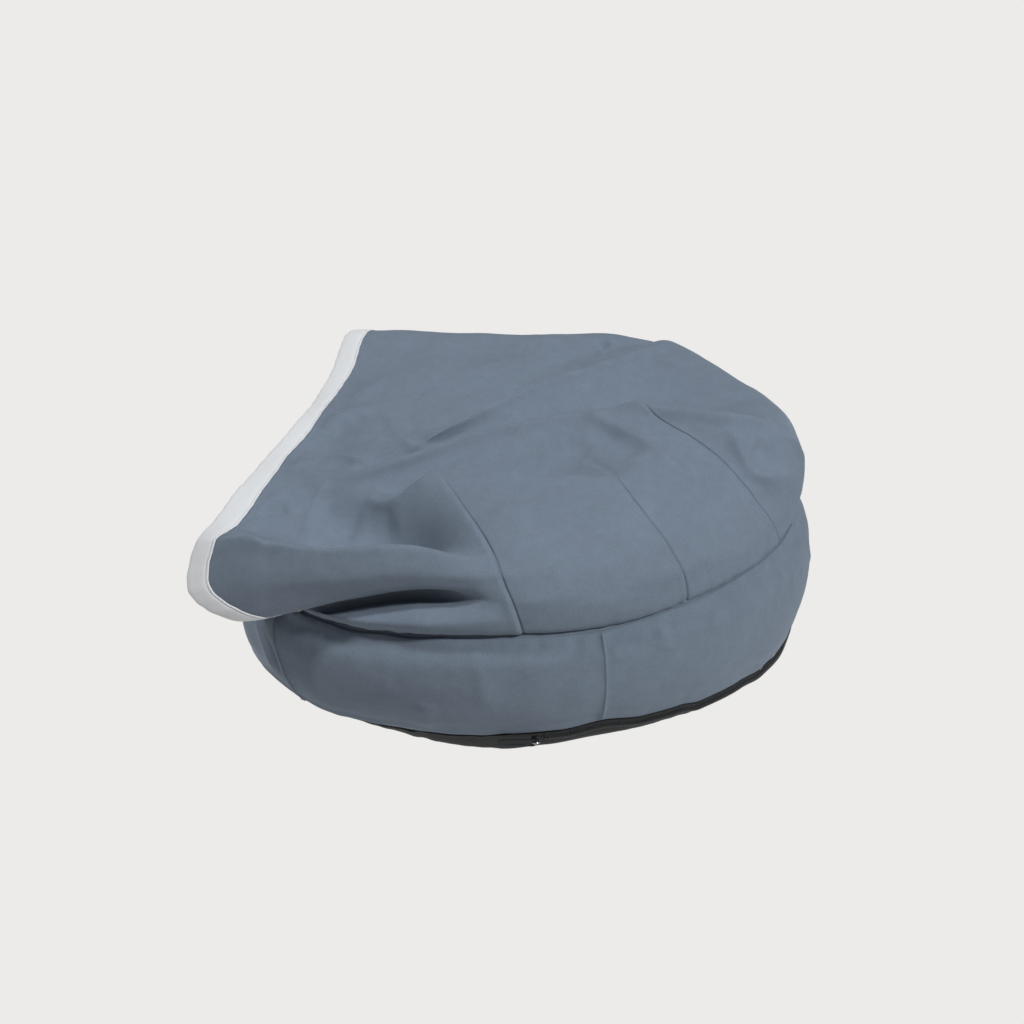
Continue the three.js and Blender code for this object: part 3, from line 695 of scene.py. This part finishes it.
def metal(name, colour, roughness):
    """Cast metal, lacquered or plated, with fine handling marks."""
    finish = Finish(name, roughness, Metallic=1.0)
    where = finish.place()
    marks = finish.speckle(where, 500, 4, 1.5)
    finish.feed("Base Color", finish.tint(colour, 0.85 + 0.3 * marks))
    finish.feed("Roughness", finish.clamp(roughness - 0.1 + 0.25 * marks))
    finish.bumps(finish.speckle(where, 900, 3), 0.0001, 0.25)
    return finish.material


def studio_floor(name, colour):
    """Lit studio paper: the same pale tone everywhere, with the faintest grain."""
    finish = Finish(name, 1.0, Specular_IOR_Level=0, Emission_Strength=1)
    finish.shader.inputs["Base Color"].default_value = (0, 0, 0, 1)
    grain = finish.speckle(finish.place(), 3, 2)
    finish.feed("Emission Color", finish.tint(colour, 0.995 + 0.01 * grain))
    return finish.material


def length_setting(name, text, default, low, high):
    """A setting in metres."""
    return FloatProperty(
        name=name, description=text, default=default, min=low, max=high, unit="LENGTH")


def colour_setting(name, text, red, green, blue):
    """A colour setting, from the 0 to 255 values that a screen shows."""
    return FloatVectorProperty(
        name=name, description=text, default=linear(red, green, blue),
        size=3, min=0, max=1, subtype="COLOR")


def angle_setting(name, text, degrees):
    """An angle setting."""
    return FloatProperty(
        name=name, description=text, default=math.radians(degrees), subtype="ANGLE")


def strength_setting(name, text, default, high):
    """A light's strength."""
    return FloatProperty(name=name, description=text, default=default, min=0, max=high)


class BedSettings(bpy.types.PropertyGroup):
    """Sizes and colours of the cloth pieces."""

    cloth: length_setting("Hood cloth", "Thickness of the hood's cloth", 0.003, 0.001, 0.004)
    panel_cloth: length_setting(
        "Bottom cloth", "Thickness of the black bottom panel", 0.002, 0.001, 0.003)
    suede_colour: colour_setting("Suede", "Colour of the hood and the pad", 104, 115, 128)
    panel_colour: colour_setting("Bottom cloth", "Colour of the bottom panel", 46, 48, 48)


class TrimSettings(bpy.types.PropertyGroup):
    """Sizes and colours of the mouth trim."""

    cloth: length_setting("Thickness", "Thickness of the binding tape", 0.0012, 0.0005, 0.002)
    stitch: length_setting("Stitch", "Length from one stitch to the next", 0.0036, 0.002, 0.006)
    colour: colour_setting("Binding", "Colour of the binding", 207, 208, 210)
    thread_colour: colour_setting("Thread", "Colour of the stitches", 188, 190, 194)


class ZipSettings(bpy.types.PropertyGroup):
    """Sizes and colours of the zip."""

    pitch: length_setting("Pitch", "Length from one tooth to the next", 0.00135, 0.001, 0.003)
    tooth: length_setting("Tooth width", "Width of the closed coil", 0.0042, 0.003, 0.006)
    tape_colour: colour_setting("Tape", "Colour of the zip tape", 37, 39, 40)
    coil_colour: colour_setting("Coil", "Colour of the teeth", 44, 46, 48)
    pull_colour: colour_setting("Pull", "Colour of the slider and its pull", 58, 60, 62)
    bail_colour: colour_setting("Bail", "Colour of the bright bail on the slider", 196, 198, 200)


class StageSettings(bpy.types.PropertyGroup):
    """The floor, the light and the camera."""

    floor_colour: colour_setting("Floor", "Colour of the lit floor", 236, 235, 233)
    sky: strength_setting("Soft light", "Strength of the light from all round", 0.12, 3)
    high: strength_setting("High light", "Strength of the high light on the mouth's side", 1.6, 10)
    side: strength_setting("Side light", "Strength of the lower light on the near side", 2.8, 10)
    azimuth: angle_setting(
        "Azimuth", "Direction the camera stands in, counted from -Y to +X", CAMERA_AZIMUTH)
    elevation: angle_setting("Elevation", "Height of the camera over the horizon", CAMERA_ELEVATION)
    roll: angle_setting("Roll", "Turn of the camera about its own axis", CAMERA_ROLL)
    distance: length_setting(
        "Distance", "From the camera to the middle of the bed", CAMERA_DISTANCE / 1000, 0.5, 10)


def wall_radius(share, low, belly, extra, degrees):
    """A ring of the pad's wall, from its share of the height and of the two bulges."""
    foot = around(BLUE_EDGE, degrees)
    top = around(RIM_HEIGHT, degrees) - 1
    bulge = low * around(LOW_RADIUS, degrees) + belly * around(BELLY_RADIUS, degrees)
    return polar(degrees, bulge + extra, foot + (top - foot) * share)


def seam_offset(degrees, share, top, bottom):
    """Direction from a slanting wall seam, in degrees."""
    return (degrees - (bottom + (top - bottom) * share) + 180) % 360 - 180


def pad_directions():
    """Directions of the pad's columns, finer beside the wall seams."""
    values = set(np.round(np.arange(-90, 270, 0.75), 4))
    for top, bottom, _ in PANEL_SEAMS:
        low, high = sorted((top, bottom))
        for step in np.arange(low - 1.2, high + 1.21, 0.2):
            values.add(round((step + 90) % 360 - 90, 4))
    return np.array(sorted(values))


def pad_points(degrees):
    """The pad cover as rings from the middle of the foot to the middle of the crown."""
    d = degrees
    foot = around(BLUE_EDGE, d)
    top = around(RIM_HEIGHT, d) - 1
    sewn = np.clip((around(HOOD_SEWN, d) - 0.5) * 2, 0, 1)
    ring = [
        (0.3, 0.0, 0), (120, 0.0, 0), (FLAT_RADIUS - 2, 0.0, 0), (FLAT_RADIUS + 19, 3.1, 0.5),
        (FLAT_RADIUS + 29, 5.9, 1),
    ]
    lift = around(PANEL_LIFT, d)
    rings = [polar(d, radius, 2.4 + rise + share * lift) for radius, rise, share in ring]
    rings += [polar(d, 257.5, foot + 0.4), polar(d, 262.2, foot + 0.6), polar(d, 264.0, foot + 2.2)]
    wall = [
        (0.06, 1, 0, -2.6), (0.12, 0.95, 0.05, -0.6), (0.2, 0.8, 0.2, 2), (0.34, 0.45, 0.55, 3),
        (0.5, 0.1, 0.9, 1.5), (0.66, 0, 1, 0), (0.8, 0, 0.6, 110), (0.9, 0, 0.25, 202),
        (0.96, 0, 0, RIM_RADIUS + 1.6),
    ]
    rings += [wall_radius(*row, d) for row in wall]
    rings += [
        polar(d, RIM_RADIUS - 1.4, top - 0.6),
        polar(d, RIM_RADIUS - 4.4, top + 0.2 * sewn - 0.3),
        polar(d, RIM_RADIUS - 6.5, top + 2.6 * sewn),
        polar(d, RIM_RADIUS - 9.5, top + 2.8 * sewn + 0.3),
        polar(d, RIM_RADIUS - 12.5, top + 0.4),
    ]
    for radius, share in ((248, 0.04), (225, 0.12), (180, 0.42), (120, 0.76), (60, 0.94), (0.3, 1)):
        rings.append(polar(d, radius, top + 0.2 + (PAD_CROWN - top - 0.2) * share))
    return np.array(rings)


# 1 where the hood is sewn to the pad, 0 across its mouth.
HOOD_SEWN = [(-90, 0), (-44, 0), (-38, 1), (218, 1), (224, 0), (270, 0)]
PAD_RING_STEPS = [1, 2, 3, 2, 2, 2, 2, 2, 3, 4, 6, 7, 7, 7, 6, 5, 4, 3, 2, 2, 2, 2, 3, 4, 5, 5, 4]
PAD_FIRST_WALL = 7
PAD_LAST_WALL = 17
# Rings of the pad that lie on a seam, where its outline turns sharply.
PAD_SEAM_RINGS = [5, 6, 7, 16, 17, 18, 19, 20, 21]
PAD_CROWN_START = 21


def refined(counts):
    """Fractional row numbers with the given number of steps in each row."""
    return np.concatenate([k + np.arange(n) / n for k, n in enumerate(counts)] + [[len(counts)]])


def pad_cover_grid(degrees):
    """The pad cover with its seams, gathers, creases and soft unevenness."""
    rings = pad_points(degrees)
    crest = np.ones(len(rings))
    crest[PAD_SEAM_RINGS] = 0.5
    at = refined(PAD_RING_STEPS)
    grid = hermite(rings, at, crest)
    normal = -outward(grid, wrap=True)
    turn = degrees[None, :]
    wall = np.clip((at - PAD_FIRST_WALL) / 1.5, 0, 1) * np.clip((PAD_LAST_WALL - at) / 1.0, 0, 1)
    height = grid[..., 2]
    foot = around(BLUE_EDGE, degrees)
    top = around(RIM_HEIGHT, degrees) - 1
    share = np.clip((height - foot) / (top - foot), 0, 1)
    rise = crease_rise(grid, cast_paths(WALL_CREASES, grid))
    for high, low, depth in PANEL_SEAMS:
        away = math.radians(1) * seam_offset(turn, share, high, low) * WALL_RADIUS
        sewn = depth * bell(away, 0.9) + 0.8 * bell(away, 9) - 0.3 * bell(np.abs(away) - 5, 4)
        rise -= sewn * wall[:, None]
    below = np.maximum(top - height, 0)
    rise += wall[:, None] * puckers(turn, 5) * (1.1 * bell(below, 15, 1.4))
    rise += wall[:, None] * puckers(turn, 9) * (0.8 * bell(height - foot, 12, 1.4))
    soft = 1.5 * lumps(grid, 75, 4) + 0.5 * lumps(grid, 26, 5) + 0.15 * lumps(grid, 9, 6)
    upper = np.clip(at - PAD_CROWN_START, 0, 1)
    rise += soft * np.maximum(wall, upper)[:, None]
    return grid + normal * rise[..., None]


def fan(start, count, centre):
    """Three-sided faces from a ring of points to one point."""
    return [[centre, start + k, start + (k + 1) % count] for k in range(count)]


PANEL_RINGS = [
    # radius, height, share of the blue edge's height that is added, and of the hem's lift
    (0.3, 0, 0, 0), (110, 0, 0, 0), (FLAT_RADIUS, 0, 0, 0), (FLAT_RADIUS + 10, 0.7, 0, 0.2),
    (FLAT_RADIUS + 21, 2.5, 0, 0.5), (FLAT_RADIUS + 33.5, 6, 0, 1), (261, -3.2, 1, 0),
    (262, -1.4, 1, 0), (261.6, -0.5, 1, 0), (260.2, -0.2, 1, 0), (258.8, -1.0, 1, 0),
    (FLAT_RADIUS + 31, 7.4, 0, 1), (FLAT_RADIUS + 20, 4.4, 0, 0.5), (FLAT_RADIUS - 1, 2, 0, 0),
    (110, 2, 0, 0), (0.3, 2, 0, 0),
]
PANEL_STEPS = [1, 2, 3, 4, 4, 5, 2, 2, 2, 2, 3, 3, 2, 2, 1]


def panel_grid(degrees, cloth):
    """The black bottom panel, drawn up round the pad's foot and gathered at its hem."""
    edge = around(BLUE_EDGE, degrees)
    lift = around(PANEL_LIFT, degrees)
    rings = []
    for k, (radius, height, share, hem) in enumerate(PANEL_RINGS):
        inner = k > 10 and cloth - 2
        rings.append(polar(degrees, radius, height + inner + share * edge + hem * lift))
    crest = np.ones(len(rings))
    crest[[2, 6, 7, 8, 9, 10, 13]] = 0.4
    at = refined(PANEL_STEPS)
    grid = hermite(np.array(rings), at, crest)
    radius = np.hypot(grid[..., 0], grid[..., 1])
    gather = np.clip((radius - 236) / 22, 0, 1) * np.clip((12 - np.abs(at - 5))[:, None] / 4, 0, 1)
    grid[..., 2] += 0.8 * gather * puckers(degrees[None, :], 2)
    return grid


def closed_rings(grid):
    """Points and faces of a solid of revolution whose first and last rings close on a point."""
    rows, columns = grid.shape[:2]
    count = rows * columns
    points = np.concatenate([grid.reshape(-1, 3), [grid[0].mean(0)], [grid[-1].mean(0)]])
    faces = quads(rows, columns, wrap=True)
    faces += fan(0, columns, count) + fan(count - columns, columns, count + 1)
    return points, faces


# Cross-section of the mouth trim: length from the hood's edge, height off its outer face.
# The middle of the hood's cloth is at -1.5.
TRIM_FACE = [
    (23.9, 0.2), (24, 0.75), (23.6, 1.25), (22.7, 1.4), (21.9, 1.2), (21.3, 0.85), (20.7, 1.2),
    (19.6, 1.55), (17, 1.8), (13, 1.9), (9, 1.85), (5.5, 1.75), (3, 1.55), (1.5, 1.15),
    (0.5, 0.4), (0.05, -0.6), (0, -1.5),
]
TRIM_SLOT = [(3, -1.5), (3.1, 0.2), (6, 0.35), (14, 0.35)]
TRIM_STITCH = 21.3
TRIM_LINES = steps_with(LAST_LINE, 22, [], ())


def mirrored(profile):
    """The same heights on the hood's inner face."""
    return [(length, -3 - height) for length, height in reversed(profile)]


class MouthEdge:
    """The hood's cloth beside its mouth, to lay the trim and its stitches on."""

    def __init__(self, lines):
        stations = np.linspace(0, 1.4, 113)
        smooth = hood_grid(stations, lines)
        self.normal = outward(smooth)
        self.run = run_of(smooth, 1)
        self.points = smooth + self.normal * cloth_rise(smooth, self.run)[..., None]
        self.wide = 1 + 0.27 * bell(lines - 4.7, 2.6, 3) - 0.4 * bell(lines, 0.7, 3)

    def at(self, length, height):
        """Points at a length from the edge and a height off the outer face."""
        rows = []
        for run, points, normal, wide in zip(self.run, self.points, self.normal, self.wide):
            here = length * (wide if length > 0 else 1)
            spot = [np.interp(here, run, points[:, k]) for k in range(3)]
            lift = [np.interp(here, run, normal[:, k]) for k in range(3)]
            rows.append(np.add(spot, np.multiply(lift, height)))
        return np.array(rows)


def trim_loop(edge, cloth):
    """The trim's cross-section at every line of the hood's mouth."""
    outer = TRIM_FACE + mirrored(TRIM_FACE)[1:]
    inner = TRIM_SLOT[::-1] + mirrored(TRIM_SLOT)[1:]
    loop = outer + inner[::-1]
    grown = [(length, height * (cloth / 1.2 if height > 0.4 else 1)) for length, height in loop]
    grid = np.stack([edge.at(length, height) for length, height in grown], 1)
    centre = grid.mean(1, keepdims=True)
    along = np.cumsum(np.r_[0, np.linalg.norm(np.diff(centre[:, 0], axis=0), axis=1)])
    wave = 0.022 * np.sin(along / 2.9 + 1.7 * np.sin(along / 17)) + 0.03 * np.sin(along / 11)
    return centre + (grid - centre) * (1 + wave[:, None, None]), along


def pills(centres, long_axis, side_axis, up_axis, sizes, sides=8):
    """Many small rounded rods: half length, half width and half height of each."""
    turn = np.arange(sides) * 2 * math.pi / sides
    points = []
    faces = []
    rings = [(-1.0, 0.45), (-0.72, 1.0), (0.72, 1.0), (1.0, 0.45)]
    for centre, long, side, up in zip(centres, long_axis, side_axis, up_axis):
        start = len(points)
        for along, wide in rings:
            for angle in turn:
                points.append(
                    centre + long * along * sizes[0] + side * wide * sizes[1] * math.cos(angle)
                    + up * wide * sizes[2] * math.sin(angle))
        faces += tube_faces(len(rings), sides, start)
    return np.array(points), faces


def along_path(points, pitch):
    """Evenly spaced places on a path: points and unit directions."""
    run = np.r_[0, np.cumsum(np.linalg.norm(np.diff(points, axis=0), axis=1))]
    at = np.arange(pitch, run[-1] - pitch, pitch)
    spots = np.stack([np.interp(at, run, points[:, k]) for k in range(3)], -1)
    ahead = np.stack([np.interp(at + 0.5, run, points[:, k]) for k in range(3)], -1)
    way = ahead - spots
    return spots, way / np.linalg.norm(way, axis=1, keepdims=True), at / run[-1]


ZIP_START = 20
ZIP_END = 104
SLIDER_AT = 19.3
PULL_AT = 15.6
COIL_RADIUS = 265
COIL_RISE = -4.8
SLIDER_RISE = -5.2
SLIDER_RADIUS = 264.5
PULL_RADIUS = 269
TAPE_FACE = [
    # height from the blue edge, radius
    (-8.2, 259), (-8.9, 259.2), (-8.8, 261), (-8.3, 262.6), (-7.4, 263.5), (-6.2, 263.9),
    (-4.8, 264), (-3.4, 263.9), (-2, 263.6), (-1.3, 263.1), (-1.4, 262.3), (-4.8, 262.8),
    (-6.6, 262.5), (-7.8, 261.4),
]


def zip_frame(degrees, rise):
    """Points on the zip and its axes: along, up and out."""
    angle = np.radians(degrees)
    out = np.stack([np.cos(angle), np.sin(angle), 0 * angle], -1)
    way = np.stack([-np.sin(angle), np.cos(angle), 0 * angle], -1)
    up = np.broadcast_to([0.0, 0.0, 1.0], out.shape)
    centre = out * COIL_RADIUS + up * (around(BLUE_EDGE, degrees) + rise)[:, None]
    return centre, way, up, out


def set_on_zip(piece, degrees, radius):
    """Moves the points of a piece drawn with Y outwards and X along the zip to its place."""
    height = (float(around(BLUE_EDGE, degrees)) + SLIDER_RISE) / 1000
    x, y = polar(degrees, radius / 1000, 0)[:2]
    turn = Matrix.Rotation(math.radians(degrees - 90), 4, "Z")
    piece.data.transform(Matrix.Translation((x, y, height)) @ turn)


def add_outline(curve, outline, closed):
    """Adds straight runs through points in millimetres to a curve."""
    spline = curve.splines.new("POLY")
    spline.points.add(len(outline) - 1)
    for point, (x, y) in zip(spline.points, outline):
        point.co = (x / 1000, y / 1000, 0, 1)
    spline.use_cyclic_u = closed


def plate(name, outlines, half, bevel, finish):
    """An upright plate with bevelled edges. Outlines in millimetres: the first is the rim."""
    curve = bpy.data.curves.new(name, "CURVE")
    curve.dimensions = "2D"
    curve.fill_mode = "BOTH"
    curve.extrude = (half - bevel) / 1000
    curve.bevel_depth = bevel / 1000
    curve.bevel_resolution = 2
    curve.offset = -bevel / 1000
    for outline in outlines:
        add_outline(curve, outline, True)
    return curve_piece(name, curve, finish, Matrix.Rotation(math.pi / 2, 4, "X"))


def curve_piece(name, curve, finish, turn=None):
    """A mesh object made from a curve."""
    maker = bpy.data.objects.new(name + "_curve", curve)
    bpy.context.scene.collection.objects.link(maker)
    ready = maker.evaluated_get(bpy.context.evaluated_depsgraph_get())
    mesh = bpy.data.meshes.new_from_object(ready)
    bpy.data.objects.remove(maker)
    bpy.data.curves.remove(curve)
    mesh.name = name
    if turn is not None:
        mesh.transform(turn)
    work = bmesh.new()
    work.from_mesh(mesh)
    bmesh.ops.remove_doubles(work, verts=work.verts, dist=1e-6)
    bmesh.ops.recalc_face_normals(work, faces=work.faces)
    work.to_mesh(mesh)
    work.free()
    mesh.shade_smooth()
    mesh.set_sharp_from_angle(angle=math.radians(40))
    mesh.materials.clear()
    mesh.materials.append(finish)
    piece = bpy.data.objects.new(name, mesh)
    bpy.context.scene.collection.objects.link(piece)
    return piece


def arc(x, y, radius, start, end, steps):
    """Points on part of a circle, in degrees."""
    turns = np.radians(np.linspace(start, end, steps + 1))
    return [(x + radius * math.cos(t), y + radius * math.sin(t)) for t in turns]


def shared_suede(scene):
    """The suede of the hood and the pad, made once."""
    return bpy.data.materials.get("suede_cloth") or suede("suede_cloth", scene.nest_bed.suede_colour)


def settle(piece, slot, *nodes):
    """The piece rides on the bed and stands for CAD nodes; its slot is not used."""
    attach(piece, "root")
    if nodes:
        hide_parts(*nodes)


class NEST_OT_pad(bpy.types.Operator):
    """The filled pad in its suede cover"""

    bl_idname = "nest.pad"
    bl_label = "Base pad"

    def execute(self, context):
        points, faces = closed_rings(pad_cover_grid(pad_directions()))
        piece = make_piece("pad_cover", points, faces, shared_suede(context.scene))
        settle(piece, "suede", "base_pad")
        return {"FINISHED"}


class NEST_OT_panel(bpy.types.Operator):
    """The black bottom panel, drawn up round the pad's foot"""

    bl_idname = "nest.panel"
    bl_label = "Bottom panel"

    def execute(self, context):
        settings = context.scene.nest_bed
        grid = panel_grid(np.arange(-90, 270, 1.0), settings.panel_cloth * 1000)
        points, faces = closed_rings(grid)
        finish = black_cloth("black_canvas", settings.panel_colour)
        piece = make_piece("bottom_panel", points, faces, finish)
        settle(piece, "bottom_cloth", "base_bottom")
        return {"FINISHED"}


class NEST_OT_hood(bpy.types.Operator):
    """The hood: one sheet of suede, sewn to the pad and sunk into folds"""

    bl_idname = "nest.hood"
    bl_label = "Hood"

    def execute(self, context):
        scene = context.scene
        outer, normal = hood_outer()
        inner = (outer - normal * scene.nest_bed.cloth * 1000)[::2, ::2]
        rows, columns = outer.shape[:2]
        points = np.concatenate([outer.reshape(-1, 3), inner.reshape(-1, 3)])
        piece = make_piece("hood_cloth", points, shell_faces(rows, columns), shared_suede(scene))
        settle(piece, "suede", "hood")
        return {"FINISHED"}


class NEST_OT_trim(bpy.types.Operator):
    """The binding folded over the edge of the hood's mouth, and its stitches"""

    bl_idname = "nest.trim"
    bl_label = "Mouth trim"

    def execute(self, context):
        settings = context.scene.nest_trim
        edge = MouthEdge(TRIM_LINES)
        grid, along = trim_loop(edge, settings.cloth * 1000)
        faces = tube_faces(*grid.shape[:2])
        around_band = np.r_[0, np.cumsum(np.linalg.norm(np.diff(grid[0], axis=0), axis=1))]
        uv = np.stack(np.broadcast_arrays(along[:, None], around_band[None, :]), -1) / 1000
        finish = binding("binding_tape", settings.colour)
        trim = make_piece("mouth_binding", grid.reshape(-1, 3), faces, finish, uv=uv)
        settle(trim, "trim", "mouth_trim")
        thread = binding("binding_thread", settings.thread_colour)
        for name, height in (("outside", 1.0), ("inside", -4.0)):
            line = edge.at(TRIM_STITCH, height)
            spots, way, share = along_path(line, settings.stitch * 1000)
            lift = edge.at(TRIM_STITCH, height + (1 if height > 0 else -1)) - line
            row = np.clip((share * (len(lift) - 1)).astype(int), 0, len(lift) - 1)
            up = lift[row]
            side = np.cross(way, up)
            points, stitch_faces = pills(spots, way, side, up, (1.25, 0.3, 0.26), 6)
            uv_flat = points[:, :2] / 1000
            piece = make_piece(f"trim_stitches_{name}", points, stitch_faces, thread, uv=uv_flat)
            settle(piece, "trim")
        return {"FINISHED"}


class NEST_OT_zip(bpy.types.Operator):
    """The zip along the blue edge: tape, coil, slider and pull"""

    bl_idname = "nest.zip"
    bl_label = "Zip"

    def execute(self, context):
        settings = context.scene.nest_zip
        self.tape(settings)
        self.coil(settings)
        self.slider(settings)
        self.pull(settings)
        return {"FINISHED"}

    def tape(self, settings):
        """A woven tape, turned in under the coil."""
        degrees = np.arange(ZIP_START + 1, ZIP_END + 0.01, 0.5)
        edge = around(BLUE_EDGE, degrees)
        grid = np.stack([polar(degrees, radius, edge + rise) for rise, radius in TAPE_FACE], 1)
        faces = tube_faces(*grid.shape[:2])
        finish = black_cloth("woven_tape", settings.tape_colour, 900, 0.7)
        piece = make_piece("zip_tape_band", grid.reshape(-1, 3), faces, finish)
        settle(piece, "zip_tape", "zip_tape")

    def coil(self, settings):
        """The closed coil, one rounded rib for each tooth."""
        step = math.degrees(settings.pitch * 1000 / COIL_RADIUS)
        degrees = np.arange(ZIP_START + 2, ZIP_END - 1, step)
        centre, way, up, out = zip_frame(degrees, COIL_RISE)
        shift = 0.25 * np.where(np.arange(len(degrees)) % 2, 1, -1)
        centre = centre + up * shift[:, None] - out * 0.3
        sizes = (settings.tooth * 500, 0.46, 0.95)
        points, faces = pills(centre, up, way, out, sizes, 8)
        finish = coil_nylon("coil_nylon", settings.coil_colour)
        settle(make_piece("zip_coil", points, faces, finish), "zip_teeth", "zip_teeth")

    def slider(self, settings):
        """A shield-shaped body with a bright bail."""
        dark = metal("dark_lacquer", settings.pull_colour, 0.42)
        outline = [(-4.4, -2.2), (-3.4, -3.6), (0, -3.9), (3.2, -3.2), (4.4, -1.6), (4.4, 1.6),
                   (3.2, 3.2), (0, 3.9), (-3.4, 3.6), (-4.4, 2.2)]
        body = plate("zip_slider_body", [outline], 1.4, 0.5, dark)
        body.data.transform(Matrix.Translation((0, 0.0015, 0)))
        set_on_zip(body, SLIDER_AT, SLIDER_RADIUS)
        settle(body, "zip_metal", "zip_slider")
        bail = bpy.data.curves.new("zip_bail", "CURVE")
        bail.dimensions = "3D"
        bail.bevel_depth = 0.0008
        bail.bevel_resolution = 3
        bail.use_fill_caps = True
        path = [(-2.9, 2.4), *arc(0, 5.2, 2.9, 180, 0, 14), (2.9, 2.4)]
        add_outline(bail, path, False)
        bright = metal("bright_plate", settings.bail_colour, 0.25)
        piece = curve_piece("zip_bail", bail, bright)
        set_on_zip(piece, SLIDER_AT, SLIDER_RADIUS)
        settle(piece, "zip_metal")

    def pull(self, settings):
        """A flat pull with a raised rim, hung on the bail."""
        dark = bpy.data.materials["dark_lacquer"]
        straight = 14.3
        outline = arc(straight, 0, 3.7, -90, 90, 12) + arc(-straight, 0, 3.7, 90, 270, 12)
        eye = arc(-straight, 0, 1.9, 0, 345, 23)
        slot = arc(9, 0, 1.5, -90, 90, 8) + arc(-7, 0, 1.5, 90, 270, 8)
        tab = plate("zip_pull_tab", [outline, eye, slot], 0.55, 0.2, dark)
        web = plate("zip_pull_web", [slot], 0.3, 0.05, dark)
        for piece in (tab, web):
            piece.data.transform(Matrix.Translation((0, 0.0006, 0)))
            set_on_zip(piece, PULL_AT, PULL_RADIUS)
        settle(tab, "zip_metal", "zip_pull")
        settle(web, "zip_metal")


class NEST_OT_stage(bpy.types.Operator):
    """The pale floor, the soft studio light and the camera"""

    bl_idname = "nest.stage"
    bl_label = "Stage"

    def execute(self, context):
        scene = context.scene
        settings = scene.nest_stage
        scene.view_settings.view_transform = "Standard"
        bpy.ops.mesh.primitive_plane_add(size=24, location=(0, 0, 0))
        floor = context.object
        floor.name = "studio_floor"
        floor.data.materials.append(studio_floor("studio_floor", settings.floor_colour))
        world = bpy.data.worlds.new("studio")
        world.use_nodes = True
        sky = world.node_tree.nodes["Background"]
        sky.inputs["Color"].default_value = (0.97, 0.985, 1, 1)
        sky.inputs["Strength"].default_value = settings.sky
        scene.world = world
        self.sun("high_light", settings.high, -85, 60, 6)
        self.sun("side_light", settings.side, 74, 44, 8)
        self.camera(scene, settings)
        return {"FINISHED"}

    def sun(self, name, strength, direction, height, softness):
        """A studio light from a direction round the bed and a height, in degrees."""
        lamp = bpy.data.lights.new(name, "SUN")
        lamp.energy = strength
        lamp.angle = math.radians(softness)
        lamp.color = (0.97, 0.985, 1)
        light = bpy.data.objects.new(name, lamp)
        flat = math.cos(math.radians(height))
        towards = Vector(polar(direction, flat, math.sin(math.radians(height))))
        light.rotation_mode = "QUATERNION"
        light.rotation_quaternion = towards.to_track_quat("Z", "Y")
        bpy.context.scene.collection.objects.link(light)

    def camera(self, scene, settings):
        """A camera at the photo's angle, a little rolled, aimed at the middle of the bed."""
        right, up, back = camera_axes(settings.azimuth, settings.elevation, settings.roll)
        data = bpy.data.cameras.new("photo_camera")
        data.lens = PHOTO_FOCUS / PHOTO_SIDE * data.sensor_width
        camera = bpy.data.objects.new("photo_camera", data)
        place = Matrix((right, up, back)).transposed().to_4x4()
        place.translation = Vector(CAMERA_AIM) / 1000 + back * settings.distance
        camera.matrix_world = place
        scene.collection.objects.link(camera)
        scene.camera = camera


class VIEW3D_PT_nest_bed(bpy.types.Panel):
    """Sizes, colours and the makers of each piece"""

    bl_label = "Nest bed"
    bl_space_type = "VIEW_3D"
    bl_region_type = "UI"
    bl_category = "Nest bed"

    def draw(self, context):
        for group in GROUPS:
            settings = getattr(context.scene, group)
            box = self.layout.box()
            for name in settings.bl_rna.properties.keys():
                if name not in ("rna_type", "name"):
                    box.prop(settings, name)
        for maker in MAKERS:
            self.layout.operator(maker.bl_idname)


GROUPS = {
    "nest_bed": BedSettings, "nest_trim": TrimSettings, "nest_zip": ZipSettings,
    "nest_stage": StageSettings,
}
MAKERS = (NEST_OT_stage, NEST_OT_pad, NEST_OT_panel, NEST_OT_hood, NEST_OT_trim, NEST_OT_zip)


def register():
    """Adds the settings, the makers and the panel."""
    for group, settings in GROUPS.items():
        bpy.utils.register_class(settings)
        setattr(bpy.types.Scene, group, PointerProperty(type=settings))
    for maker in (*MAKERS, VIEW3D_PT_nest_bed):
        bpy.utils.register_class(maker)


def unregister():
    """Takes them away again."""
    for maker in (VIEW3D_PT_nest_bed, *MAKERS):
        bpy.utils.unregister_class(maker)
    for group, settings in GROUPS.items():
        delattr(bpy.types.Scene, group)
        bpy.utils.unregister_class(settings)


def main():
    """Builds every piece in order."""
    register()
    bpy.ops.nest.stage()
    bpy.ops.nest.pad()
    bpy.ops.nest.panel()
    bpy.ops.nest.hood()
    bpy.ops.nest.trim()
    bpy.ops.nest.zip()


if __name__ == "__main__":
    main()
